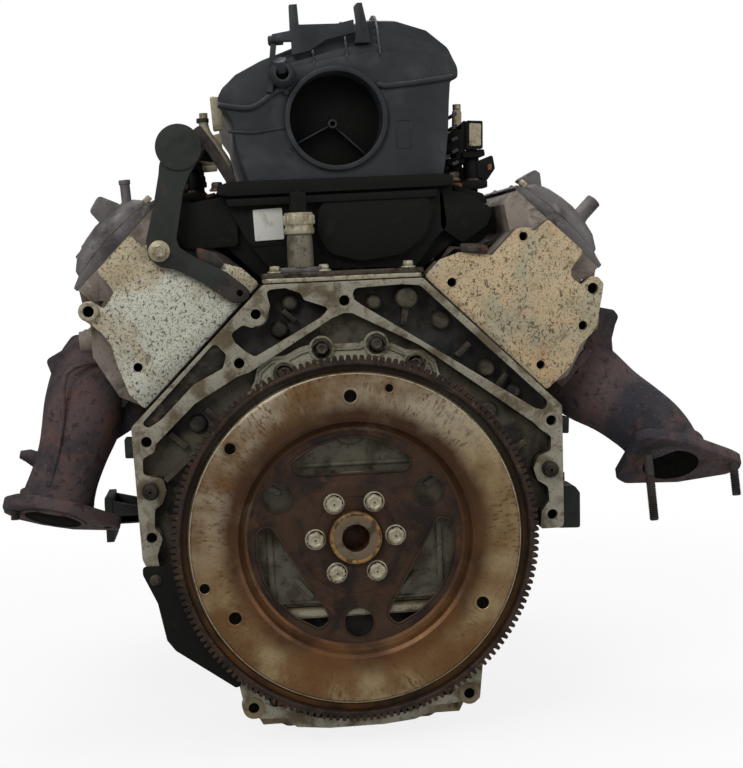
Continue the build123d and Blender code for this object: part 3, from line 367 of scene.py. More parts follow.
HEAD_RIGHT = Finish("head_right_machined", (208, 186, 150), (
    Layer((184, 176, 148), 14, 0.45, 0.6), Layer((206, 154, 100), 18, 0.53, 0.68, amount=0.55),
    Layer((76, 64, 50), 330, 0.588, 0.63, (1, 1, 0.75), 2.0, 0.8),
    Layer((112, 96, 74), 620, 0.545, 0.62, detail=2.0, amount=0.7), Layer((146, 126, 98), 60, 0.58, 0.72, amount=0.7),
), (0.45, 0.65), 0.25, Grain.CAST, 0.0002, 1400)
HEAD_CAST = Finish("head_cast", (142, 132, 122), (
    Layer((96, 84, 72), 24, 0.44, 0.64), Layer((186, 180, 172), 50, 0.56, 0.72, amount=0.6),
    Layer(GRIME, 260, 0.6, 0.7, amount=0.6),
), (0.5, 0.72), 0.3)
COVER_CAST = Finish("cover_cast", (116, 112, 112), (
    Layer((78, 72, 72), 20, 0.42, 0.62), Layer((162, 158, 154), 40, 0.56, 0.72, amount=0.6),
    Layer(GRIME, 240, 0.6, 0.72, amount=0.6),
), (0.42, 0.64), 0.4)
# Bright cast rear cover; painted shade darkens it near the crank axis, behind the flexplate.
REAR_COVER = Finish("rear_cover_cast", (158, 153, 134), (
    Layer((106, 96, 76), 30, 0.44, 0.64), Layer(GRIME, 130, 0.56, 0.7, amount=0.8),
), (0.42, 0.64), 0.4, dark_within=0.15)
SENSOR_CAST = Finish("sensor_cast", (122, 114, 98), (
    Layer((88, 80, 66), 60, 0.48, 0.64), Layer((64, 58, 48), 420, 0.57, 0.64, detail=2.0, amount=0.7),
), (0.4, 0.6), 0.3)
BORE_RUST = Finish("bore_rust", (78, 46, 24), (Layer((40, 25, 16), 120, 0.45, 0.62),), (0.4, 0.6), 0.2)
PAN_CAST = Finish("pan_cast", (138, 124, 98), (
    Layer((96, 82, 58), 26, 0.42, 0.62), Layer(OIL, 70, 0.55, 0.68, amount=0.8),
), (0.4, 0.62), 0.4)
PLASTIC = Finish("intake_plastic", (42, 45, 49), (
    Layer((62, 66, 70), 12, 0.45, 0.68), Layer((72, 68, 60), 60, 0.6, 0.78, amount=0.4),
    Layer((20, 21, 22), 30, 0.56, 0.74, amount=0.7),
), (0.36, 0.56), 0.0, Grain.MOULDED, 0.00012, 1700, 0.34)
PLASTIC_DARK = Finish("moulded_black", (20, 20, 19), (Layer((40, 37, 32), 60, 0.55, 0.75, amount=0.6),),
                      (0.5, 0.7), 0.0, Grain.MOULDED, 0.0001, 1700, 0.16)
EXHAUST = Finish("manifold_iron", (90, 76, 76), (
    Layer((56, 55, 62), 11, 0.42, 0.6), Layer((110, 80, 68), 26, 0.5, 0.68, amount=0.65),
    Layer((50, 42, 40), 110, 0.52, 0.66, amount=0.75), Layer((134, 112, 96), 300, 0.6, 0.7, amount=0.5),
), (0.65, 0.88), 0.0, Grain.CAST, 0.0012, 700, 0.2)
BRACKET = Finish("black_bracket", (46, 50, 47), (
    Layer((34, 35, 33), 18, 0.45, 0.65), Layer((72, 62, 52), 50, 0.58, 0.74, amount=0.6),
    Layer((80, 50, 34), 90, 0.64, 0.74, amount=0.5),
), (0.5, 0.7), 0.0, Grain.CAST, 0.0003, 900, 0.3)
STRUT = Finish("rusty_strap",
               (64, 58, 54), (Layer((40, 37, 36), 40, 0.45, 0.6), Layer(RUST, 70, 0.56, 0.7, amount=0.7)),
               (0.55, 0.75), 0.2)
BOLT_BRIGHT = Finish("bright_bolt", (178, 171, 148), (
    Layer((140, 126, 98), 130, 0.48, 0.66), Layer((92, 76, 54), 300, 0.57, 0.68, amount=0.7),
), (0.34, 0.5), 0.3, Grain.CAST, 0.00015, 1500)
BOLT_DARK = Finish("dark_bolt", (82, 74, 64), (
    Layer(OIL, 90, 0.44, 0.62), Layer((140, 128, 108), 260, 0.6, 0.72, amount=0.6),
), (0.35, 0.6), 0.5, Grain.CAST, 0.0002, 1500)
DARK_STEEL = Finish("dull_steel", (60, 50, 44), (Layer((34, 29, 27), 50, 0.44, 0.64),), (0.4, 0.65), 0.5)
HUB_RUST = Finish("flexplate_hub", (72, 52, 39), (
    Layer((42, 32, 27), 22, 0.42, 0.62), Layer((108, 76, 46), 54, 0.58, 0.74, amount=0.5),
    Layer((38, 30, 27), 200, 0.58, 0.7, amount=0.6),
), (0.42, 0.66), 0.45, Grain.CAST, 0.0002, 1300)
GEAR = Finish("ring_gear_steel", (66, 51, 42), (
    Layer((44, 34, 30), 60, 0.42, 0.62), Layer((128, 96, 66), 200, 0.58, 0.7, amount=0.5),
), (0.42, 0.65), 0.5, Grain.CAST, 0.0002, 1300)
GOLD = Finish("golden_ring", (160, 118, 56), (
    Layer((88, 56, 26), 90, 0.42, 0.58), Layer((206, 174, 104), 160, 0.56, 0.7, amount=0.6),
), (0.4, 0.55), 0.2, Grain.BRUSHED, 0.0001, 1500)
COPPER = Finish("copper_clip", (122, 84, 58), (Layer((78, 50, 36), 200, 0.5, 0.66),), (0.4, 0.55), 0.4)
TAN = Finish("tan_metal", (176, 166, 142), (
    Layer((128, 112, 84), 60, 0.48, 0.66), Layer((206, 200, 184), 160, 0.56, 0.7),
), (0.35, 0.5), 0.5)
STICKER = Finish("pale_sticker", (220, 219, 212), (Layer((190, 186, 172), 60, 0.5, 0.7),), (0.5, 0.6), 0.0,
                 Grain.SMOOTH)
CRANK = Finish("crank_journal", (122, 108, 88), (Layer((72, 60, 46), 50, 0.45, 0.65),), (0.35, 0.55), 0.6)
# Near-black fill set in holes and openings: painted shadow where their depth would be.
PAINTED_HOLE_SHADOW = Finish("hole_shadow", (10, 9, 8), (Layer((26, 23, 18), 200, 0.5, 0.7),), (0.8, 0.95), 0.0,
                    Grain.CAST, 0.0002, 900, 0.05)


@dataclass(frozen=True)
class StreakedPlate:
    """Finish of the flexplate's raised ring: tan steel with brown streaks that run out from the hub, a painted
    highlight over its upper left and painted shade at its outer edge.
    """

    name: str = "streaked_plate"
    pale: Screen = (170, 148, 110)
    silver: Screen = (186, 176, 154)
    dull: Screen = (120, 93, 60)
    brown: Screen = (98, 60, 30)
    inner_radius: float = 0.118
    outer_radius: float = 0.1645

    def build(self) -> bpy.types.Material:
        """Make the material with streaks of constant angle round the crank axis.

        Returns:
            The material.
        """
        known = bpy.data.materials.get(self.name)
        if known:
            return known
        graph = Graph(self.name)
        x, _, z = graph.axes()
        radius = (x * x + z * z) ** 0.5
        spoke = graph.node("ShaderNodeCombineXYZ", {}, {0: x / radius, 1: radius * 2.2, 2: z / radius}).outputs[0]
        streak = graph.noise(52.0, 6.0, 0.72, 0.1, spoke)
        patch = graph.noise(14.0, 4.0)
        # Painted highlight: the ring turns from tan to a paler grey over its top and left.
        pale = graph.mix((z + x * -0.4).step(0.0, 0.1) * 0.8, tone(*self.pale), tone(*self.silver))
        colour = graph.mix(patch.step(0.4, 0.62), pale, tone(*self.dull))
        worn = streak.step(0.5, 0.62) * graph.noise(20.0, 3.0).step(0.4, 0.58)
        colour = graph.mix(worn * 0.85, colour, tone(*self.brown))
        inner = radius.step(self.inner_radius + 0.024, self.inner_radius + 0.002)
        stain = graph.noise(40.0, 5.0)
        colour = graph.mix((inner * (stain + 0.5)).least(1.0), colour, tone(74, 48, 28))
        # Painted shade: a dark band at the outer edge, in the groove before the ring gear.
        rim = radius.step(self.outer_radius - 0.0012, self.outer_radius + 0.0006)
        colour = graph.mix(rim * 0.92, colour, tone(34, 25, 20))
        low = z.step(0.08, -0.12) * graph.noise(24.0, 4.0).step(0.32, 0.58)
        colour = graph.mix(low * 0.8, colour, tone(118, 80, 44))
        specks = graph.noise(420.0, 3.0).step(0.6, 0.7)
        colour = graph.mix(specks * 0.5, colour, tone(70, 52, 38))
        graph.feed(graph.surface.inputs["Base Color"], colour)
        graph.surface.inputs["Metallic"].default_value = 0.55
        graph.feed(graph.surface.inputs["Roughness"], patch.step(0.3, 0.7) * 0.16 + 0.36)
        graph.relief(streak * 0.6 + graph.noise(900.0, 2.0) * 0.4, 0.00012)
        return graph.material


def engine_point(a: float, b: float, along: float) -> Vector:
    """Place from X and Z in a section across the crank."""
    return Vector((a, along, b))


def bank_place(side: Side) -> Place:
    """Function that turns u, v and a distance along the engine into a place on one bank."""
    s = side.value
    return lambda u, v, along: Vector((s * (u + v) * C45, along, (v - u) * C45))


def circle(x: float, z: float, radius: float, sides: int = 32) -> list[Point]:
    """Points of a circle."""
    step = tau / sides
    return [(x + radius * cos(n * step), z + radius * sin(n * step)) for n in range(sides)]


def polar(radius: float, angle: float) -> Point:
    """Point at an angle in degrees from +X towards +Z."""
    return radius * cos(radians(angle)), radius * sin(radians(angle))


def rounded(points: Outline, radius: float, steps: int = 4) -> list[Point]:
    """Outline with its corners rounded.

    Args:
        points: corners of the outline.
        radius: largest radius of a corner, less where its sides are short.
        steps: straight pieces in each round corner.

    Returns:
        The new outline.
    """
    result: list[Point] = []
    count = len(points)
    for n in range(count):
        before, here, after = (Vector(points[(n + k) % count]) for k in (-1, 0, 1))
        back, ahead = before - here, after - here
        turn = pi - back.angle(ahead, pi)
        reach = min(radius * tan(turn / 2), back.length * 0.45, ahead.length * 0.45)
        if turn < 0.05 or reach < 0.05:
            result.append(tuple(here))
            continue
        first, last = here + back.normalized() * reach, here + ahead.normalized() * reach
        for k in range(steps + 1):
            t = k / steps
            result.append(tuple(first * (1 - t) ** 2 + here * 2 * t * (1 - t) + last * t ** 2))
    return result


def mirrored(points: Outline) -> list[Point]:
    """Outline from its right half, top first."""
    return [*points, *[(-x, z) for x, z in reversed(points)]]


def sided(sign: int, points: Outline) -> list[Point]:
    """Outline drawn for the right, moved to the left by a sign of -1."""
    return [(sign * x, z) for x, z in points]


def curved(points: Sequence[Point], steps: int = 4) -> list[Vector]:
    """Points of a smooth curve through the given ones.

    Args:
        points: points to pass through.
        steps: straight pieces between two of them.

    Returns:
        The points of the curve.
    """
    given = [Vector(p) for p in points]
    result = []
    for n in range(len(given) - 1):
        a, b, c, d = (given[min(max(k, 0), len(given) - 1)] for k in (n - 1, n, n + 1, n + 2))
        for k in range(steps):
            t = k / steps
            bend, twist = a * 2 - b * 5 + c * 4 - d, b * 3 - a - c * 3 + d
            result.append((b * 2 + (c - a) * t + bend * t * t + twist * t ** 3) / 2)
    return [*result, given[-1]]


class Piece:
    """One mesh under construction, drawn in millimetres, with a finish for each kind of surface."""

    def __init__(self, name: str, slot: str, *finishes: Finish, body: str = "block",
                 replaces: Sequence[str] = (), bevel: float = 0.8, segments: int = 2) -> None:
        """Start an empty piece that rides on a body.

        Args:
            name: name of the object.
            slot: not used.
            finishes: finishes, used by their number.
            body: body that it rides on.
            replaces: CAD nodes that it stands for.
            bevel, segments: width and steps of its rounded edges.
        """
        self.name = name
        self.slot = slot
        self.body = body
        self.replaces = replaces
        self.bevel = bevel
        self.segments = segments
        self.finishes = finishes
        self.mesh = bmesh.new()

    def absorb(self, shape: bmesh.types.BMesh, finish: int, cap: Optional[int] = None) -> None:
        """Take in a closed shape, its faces turned outwards, with its rear faces in another finish if given.

        Args:
            shape: the shape, freed here.
            finish: number of its finish.
            cap: number of the finish of its rear faces.
        """
        bmesh.ops.recalc_face_normals(shape, faces=shape.faces)
        shape.normal_update()
        for face in shape.faces:
            face.material_index = cap if cap is not None and face.normal.y < -0.9 else finish
        mesh = bpy.data.meshes.new("shape")
        shape.to_mesh(mesh)
        shape.free()
        self.mesh.from_mesh(mesh)
        bpy.data.meshes.remove(mesh)

    def plate(self, points: Outline, start: float, end: float, holes: Sequence[Outline] = (), finish: int = 0,
              cap: Optional[int] = None, place: Place = engine_point) -> None:
        """Flat plate with holes, from start to end along the engine.

        Args:
            points: outer outline.
            start, end: the two faces.
            holes: outlines of the holes.
            finish, cap: finish of the plate and of its rear face.
            place: function from the section and a distance to a place.
        """
        shape = bmesh.new()
        edges = []
        for loop in (points, *holes):
            verts = [shape.verts.new(place(a, b, start)) for a, b in loop]
            edges += [shape.edges.new((verts[n - 1], verts[n])) for n in range(len(verts))]
        bmesh.ops.triangle_fill(shape, use_beauty=True, use_dissolve=False, edges=edges)
        grown = bmesh.ops.extrude_face_region(shape, geom=list(shape.faces))
        moved = [item for item in grown["geom"] if isinstance(item, bmesh.types.BMVert)]
        bmesh.ops.translate(shape, vec=(0, end - start, 0), verts=moved)
        self.absorb(shape, finish, cap)

    def bar(self, first: Point, last: Point, half: float, start: float, end: float, finish: int = 0) -> None:
        """Straight bar with flat sides between two points of a section.

        Args:
            first, last: ends of its middle line.
            half: half of its width.
            start, end: its two faces.
            finish: number of its finish.
        """
        ahead = (Vector(last) - Vector(first)).normalized()
        side = Vector((-ahead.y, ahead.x)) * half
        corners = [Vector(first) - side, Vector(last) - side, Vector(last) + side, Vector(first) + side]
        self.plate([tuple(c) for c in corners], start, end, [], finish)

    def rings(self, rings: Sequence[Sequence[Vector]], finish: int = 0, closed: bool = False,
              cap: Optional[int] = None) -> None:
        """Skin over rings of equal count, capped at its ends or closed on itself.

        Args:
            rings: the rings in order.
            finish, cap: finish of the skin and of its rear faces.
            closed: whether the last ring joins the first.
        """
        shape = bmesh.new()
        rows = [[shape.verts.new(point) for point in ring] for ring in rings]
        pairs = list(zip(rows, rows[1:])) + ([(rows[-1], rows[0])] if closed else [])
        for low, high in pairs:
            for n in range(len(low)):
                shape.faces.new((low[n - 1], low[n], high[n], high[n - 1]))
        if not closed:
            shape.faces.new(rows[0])
            shape.faces.new(rows[-1])
        bmesh.ops.remove_doubles(shape, verts=shape.verts, dist=0.001)
        self.absorb(shape, finish, cap)

    def lathe(self, profile: Outline, origin: Point, axis: Point = (0, 1, 0), sides: int = 32, finish: int = 0,
              closed: bool = False, turn: float = 0.0) -> None:
        """Turned shape from radius and distance pairs along an axis.

        Args:
            profile: radius and distance pairs.
            origin, axis: start and direction of the axis.
            sides: sides of a ring.
            finish: number of its finish.
            closed: whether the profile closes on itself.
            turn: turn of the first side in radians.
        """
        direction = Vector(axis).normalized()
        across = direction.orthogonal().normalized()
        if abs(direction.y) > 0.99:
            across = Vector((1, 0, 0))
        other = direction.cross(across)
        rings = []
        for radius, distance in profile:
            centre = Vector(origin) + direction * distance
            rings.append([
                centre + (across * cos(a) + other * sin(a)) * max(radius, 0.01)
                for a in (tau * n / sides + turn for n in range(sides))
            ])
        self.rings(rings, finish, closed)

    def rod(self, start: Point, end: Point, radius: float, sides: int = 20, finish: int = 0,
            tip: Optional[float] = None) -> None:
        """Straight round bar, tapered where a tip radius is given."""
        axis = Vector(end) - Vector(start)
        self.lathe([(radius, 0), (tip or radius, axis.length)], start, axis, sides, finish)

    def sweep(self, path: Sequence[Point], sizes: Sequence[Point], sides: int = 24, finish: int = 0,
              side_axis: Point = (0, 1, 0)) -> None:
        """Tube of oval sections along a path, with the path rounded where it has many points.

        Args:
            path: centres of the sections.
            sizes: half widths of each section, across the side axis and along it.
            sides: points round a section.
            finish: number of the finish.
            side_axis: direction of the second half width.
        """
        if len(path) > 4:
            path, sizes = curved(path), curved(sizes)
        points = [Vector(p) for p in path]
        rings = []
        for n, point in enumerate(points):
            ahead = points[min(n + 1, len(points) - 1)] - points[max(n - 1, 0)]
            second = Vector(side_axis) - ahead * (Vector(side_axis).dot(ahead) / ahead.length_squared)
            second.normalize()
            first = ahead.normalized().cross(second)
            wide, deep = sizes[n]
            rings.append([point + first * wide * cos(a) + second * deep * sin(a)
                          for a in (tau * k / sides for k in range(sides))])
        self.rings(rings, finish)

    def bolt(self, origin: Point, axis: Point, width: float, height: float, finish: int = 0, flange: float = 0.0,
             turn: float = 0.0) -> None:
        """Hexagon head on an optional flange, standing out of its seat along an axis.

        Args:
            origin, axis: seat and outward direction.
            width: distance over the flats.
            height: height over the seat.
            finish: number of its finish.
            flange: radius of the flange, or nothing.
            turn: turn of the hexagon in radians.
        """
        direction = Vector(axis).normalized()
        base = 0.0
        if flange:
            base = height * 0.25
            self.lathe([(flange, 0), (flange, base * 0.6), (flange * 0.9, base)], origin, axis, 24, finish)
        radius = width / 2 / cos(pi / 6)
        start = Vector(origin) + direction * base
        tall = height - base
        profile = [(radius, 0), (radius, tall - 1.6), (radius * 0.84, tall - 0.3), (radius * 0.68, tall),
                   (radius * 0.54, tall - 1.1), (radius * 0.12, tall - 0.9)]
        self.lathe(profile, start, axis, 6, finish, turn=turn)

    def finish_piece(self) -> bpy.types.Object:
        """Turn the shapes into an object, bevel it, shade it and hand it to the frame.

        Returns:
            The object.
        """
        bmesh.ops.scale(self.mesh, vec=(MM, MM, MM), verts=self.mesh.verts)
        piece = add_object(self.name, self.mesh)
        for finish in self.finishes:
            piece.data.materials.append(finish.build())
        if self.bevel:
            soften(piece, self.bevel, self.segments)
        hand_over(piece, self.body, self.replaces)
        return piece


def add_object(name: str, shape: bmesh.types.BMesh) -> bpy.types.Object:
    """Object at the origin that takes over a shape.

    Args:
        name: name of the object and of its mesh.
        shape: the shape, freed here.

    Returns:
        The object, linked to the scene.
    """
    mesh = bpy.data.meshes.new(name)
    shape.to_mesh(mesh)
    shape.free()
    made = bpy.data.objects.new(name, mesh)
    bpy.context.scene.collection.objects.link(made)
    return made


def soften(piece: bpy.types.Object, width: float, segments: int, angle: float = 38.0) -> None:
    """Round the sharp edges of an object, apply that and shade it smooth between them.

    Args:
        piece: object to round.
        width, segments: width in millimetres and steps of the rounding.
        angle: edges flatter than this, in degrees, stay.
    """
    rounding = piece.modifiers.new("rounding", "BEVEL")
    rounding.width = width * MM
    rounding.segments = segments
    rounding.limit_method = "ANGLE"
    rounding.angle_limit = radians(angle)
    rounding.use_clamp_overlap = True
    bake_modifiers(piece)
    piece.data.shade_smooth()
    piece.data.set_sharp_from_angle(angle=radians(angle))


def bake_modifiers(piece: bpy.types.Object) -> None:
    """Replace an object's mesh by its evaluated one and drop its modifiers.

    Args:
        piece: object with modifiers.
    """
    view = bpy.context.evaluated_depsgraph_get()
    mesh = bpy.data.meshes.new_from_object(piece.evaluated_get(view), preserve_all_data_layers=True, depsgraph=view)
    piece.modifiers.clear()
    piece.data = mesh


def hand_over(piece: bpy.types.Object, body: str, replaces: Sequence[str]) -> None:
    """Ride a piece on its body and the CAD nodes that it stands for.

    Args:
        piece: the object.
        body: body that it rides on.
        replaces: CAD nodes that it stands for.
    """
    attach(piece, body)
    if replaces:
        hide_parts(*replaces)
    LOG.info("%s: %d faces on %s", piece.name, len(piece.data.polygons), body)


class Repeater:
    """Geometry Nodes tree that sets one head on each of several seats, all turned the same way."""

    def __init__(self, name: str) -> None:
        """Build the tree with its inputs.

        Args:
            name: name of the tree.
        """
        self.tree = bpy.data.node_groups.new(name, "GeometryNodeTree")
        face = self.tree.interface
        face.new_socket("Seats", in_out="INPUT", socket_type="NodeSocketGeometry")
        face.new_socket("Head", in_out="INPUT", socket_type="NodeSocketObject")
        face.new_socket("Size", in_out="INPUT", socket_type="NodeSocketFloat")
        face.new_socket("Turn", in_out="INPUT", socket_type="NodeSocketFloat")
        face.new_socket("Seed", in_out="INPUT", socket_type="NodeSocketInt")
        face.new_socket("Finish", in_out="INPUT", socket_type="NodeSocketMaterial")
        face.new_socket("Geometry", in_out="OUTPUT", socket_type="NodeSocketGeometry")
        inputs = self._add("NodeGroupInput")
        head = self._add("GeometryNodeObjectInfo")
        spin = self._add("FunctionNodeRandomValue")
        spin.data_type = "FLOAT"
        facing = self._add("GeometryNodeInputNormal")
        align = self._add("FunctionNodeAlignRotationToVector")
        align.axis = "Z"
        rotate = self._add("FunctionNodeRotateRotation")
        rotate.rotation_space = "LOCAL"
        twist = self._add("FunctionNodeAxisAngleToRotation")
        seat = self._add("GeometryNodeInstanceOnPoints")
        real = self._add("GeometryNodeRealizeInstances")
        dress = self._add("GeometryNodeSetMaterial")
        output = self._add("NodeGroupOutput")
        link = self.tree.links.new
        link(inputs.outputs["Head"], head.inputs["Object"])
        link(inputs.outputs["Turn"], spin.inputs[3])
        link(inputs.outputs["Seed"], spin.inputs["Seed"])
        link(facing.outputs[0], align.inputs["Vector"])
        link(spin.outputs[1], twist.inputs["Angle"])
        link(align.outputs[0], rotate.inputs[0])
        link(twist.outputs[0], rotate.inputs[1])
        link(inputs.outputs["Seats"], seat.inputs["Points"])
        link(head.outputs["Geometry"], seat.inputs["Instance"])
        link(rotate.outputs[0], seat.inputs["Rotation"])
        link(inputs.outputs["Size"], seat.inputs["Scale"])
        link(seat.outputs[0], real.inputs[0])
        link(real.outputs[0], dress.inputs["Geometry"])
        link(inputs.outputs["Finish"], dress.inputs["Material"])
        link(dress.outputs[0], output.inputs[0])

    def _add(self, kind: str) -> bpy.types.Node:
        """Add a node to the tree."""
        return self.tree.nodes.new(kind)

    def run(self, name: str, seats: Sequence[tuple[Point, Point]], head: bpy.types.Object, size: float,
            finish: Finish, turn: float = 0.0, seed: int = 3) -> bpy.types.Object:
        """Make one mesh with a head on each seat.

        Args:
            name: name of the piece.
            seats: place and outward direction of each head, in millimetres.
            head: head drawn in metres at the origin, standing along Z.
            size: scale of the head.
            finish: finish of all the heads.
            turn: largest random turn in radians.
            seed: seed of that turn.

        Returns:
            The object with its modifier applied.
        """
        shape = bmesh.new()
        for place, direction in seats:
            axis = Vector(direction).normalized()
            side = axis.orthogonal().normalized() * 1e-5
            other = axis.cross(side.normalized()) * 1e-5
            middle = Vector(place) * MM
            corners = [shape.verts.new(middle + side * cos(a) + other * sin(a)) for a in (0, 2.0944, 4.1888)]
            shape.faces.new(corners)
        piece = add_object(name, shape)
        modifier = piece.modifiers.new("heads", "NODES")
        modifier.node_group = self.tree
        values = {"Head": head, "Size": size, "Turn": turn, "Seed": seed, "Finish": finish.build()}
        for item in self.tree.interface.items_tree:
            if item.in_out == "INPUT" and item.name in values:
                modifier[item.identifier] = values[item.name]
        bake_modifiers(piece)
        return piece


@dataclass
class Studio:
    """Floor, lamps and a camera at the photograph's viewing angle."""

    yaw: float = -5.15
    pitch: float = 4.51
    roll: float = -2.52
    distance: float = 1500.0
    target: Point = (23.0, 0.0, 149.3)
    lens: float = 71.7
    floor_height: float = -0.2055

    def camera(self) -> None:
        """Place the camera where the photograph was taken from."""
        yaw, pitch, roll = (radians(a) for a in (self.yaw, self.pitch, self.roll))
        forward = Vector((-sin(yaw) * cos(pitch), cos(yaw) * cos(pitch), -sin(pitch)))
        level = Vector((cos(yaw), sin(yaw), 0))
        up = level.cross(forward)
        right = level * cos(roll) + up * sin(roll)
        top = up * cos(roll) - level * sin(roll)
        centre = (Vector(self.target) - forward * self.distance) * MM
        data = bpy.data.cameras.new("camera")
        data.lens = self.lens
        data.sensor_fit = "AUTO"
        data.sensor_width = 36
        data.clip_start = 0.05
        data.clip_end = 50
        camera = bpy.data.objects.new("camera", data)
        camera.matrix_world = Matrix((
            (right.x, top.x, -forward.x, centre.x),
            (right.y, top.y, -forward.y, centre.y),
            (right.z, top.z, -forward.z, centre.z),
            (0, 0, 0, 1),
        ))
        bpy.context.scene.collection.objects.link(camera)
        bpy.context.scene.camera = camera

    def lamp(self, name: str, place: Point, aim: Point, size: float, power: float,
             colour: Colour = (1, 1, 1)) -> None:
        """Add one soft square lamp.

        Args:
            name: name of the lamp.
            place, aim: where it stands and looks, in metres.
            size: length of its side.
            power: power in watts.
            colour: colour of its light.
        """
        data = bpy.data.lights.new(name, "AREA")
        data.size = size
        data.energy = power
        data.color = colour
        lamp = bpy.data.objects.new(name, data)
        lamp.location = place
        lamp.rotation_euler = (Vector(aim) - Vector(place)).to_track_quat("-Z", "Y").to_euler()
        bpy.context.scene.collection.objects.link(lamp)

    def white_room(self) -> None:
        """White surroundings for the camera and for reflections, and a softer light on the object."""
        world = bpy.data.worlds.new("room")
        bpy.context.scene.world = world
        world.use_nodes = True
        tree = world.node_tree
        tree.nodes.clear()
        path = tree.nodes.new("ShaderNodeLightPath")
        white = tree.nodes.new("ShaderNodeBackground")
        white.inputs[0].default_value = (1, 1, 1, 1)
        soft = tree.nodes.new("ShaderNodeBackground")
        soft.inputs[0].default_value = (1.0, 0.99, 0.97, 1)
        soft.inputs[1].default_value = 0.34
        mix = tree.nodes.new("ShaderNodeMixShader")
        output = tree.nodes.new("ShaderNodeOutputWorld")
        tree.links.new(path.outputs["Is Camera Ray"], mix.inputs[0])
        tree.links.new(soft.outputs[0], mix.inputs[1])
        tree.links.new(white.outputs[0], mix.inputs[2])
        tree.links.new(mix.outputs[0], output.inputs[0])

    def floor(self) -> None:
        """Pale floor under the engine that fades into the white room."""
        shape = bmesh.new()
        bmesh.ops.create_grid(shape, x_segments=1, y_segments=1, size=6.0)
        floor = add_object("floor", shape)
        floor.location = (0, 0, self.floor_height)
        graph = Graph("floor_white")
        graph.surface.inputs["Base Color"].default_value = (0.92, 0.92, 0.92, 1)
        graph.surface.inputs["Roughness"].default_value = 0.9
        x, y, _ = graph.axes()
        fade = ((x * x + (y - 0.25) * (y - 0.25)) ** 0.5).step(1.25, 0.62)
        graph.feed(graph.surface.inputs["Alpha"], fade * 0.16)
        floor.data.materials.append(graph.material)

    def build(self) -> None:
        """Set up the whole studio."""
        self.camera()
        self.white_room()
        self.floor()
        self.lamp("key", (-1.3, -2.0, 2.0), (0, 0, 0.1), 1.3, 30)
        self.lamp("fill", (2.0, -1.6, 1.0), (0, 0, 0.1), 1.6, 12)
        self.lamp("top", (0.0, 0.4, 2.4), (0, 0.2, 0.1), 1.5, 26)
        self.lamp("back", (0.6, 2.6, 1.6), (0, 0.3, 0.1), 1.6, 16)
        settings = bpy.context.scene.view_settings
        settings.view_transform = "Standard"


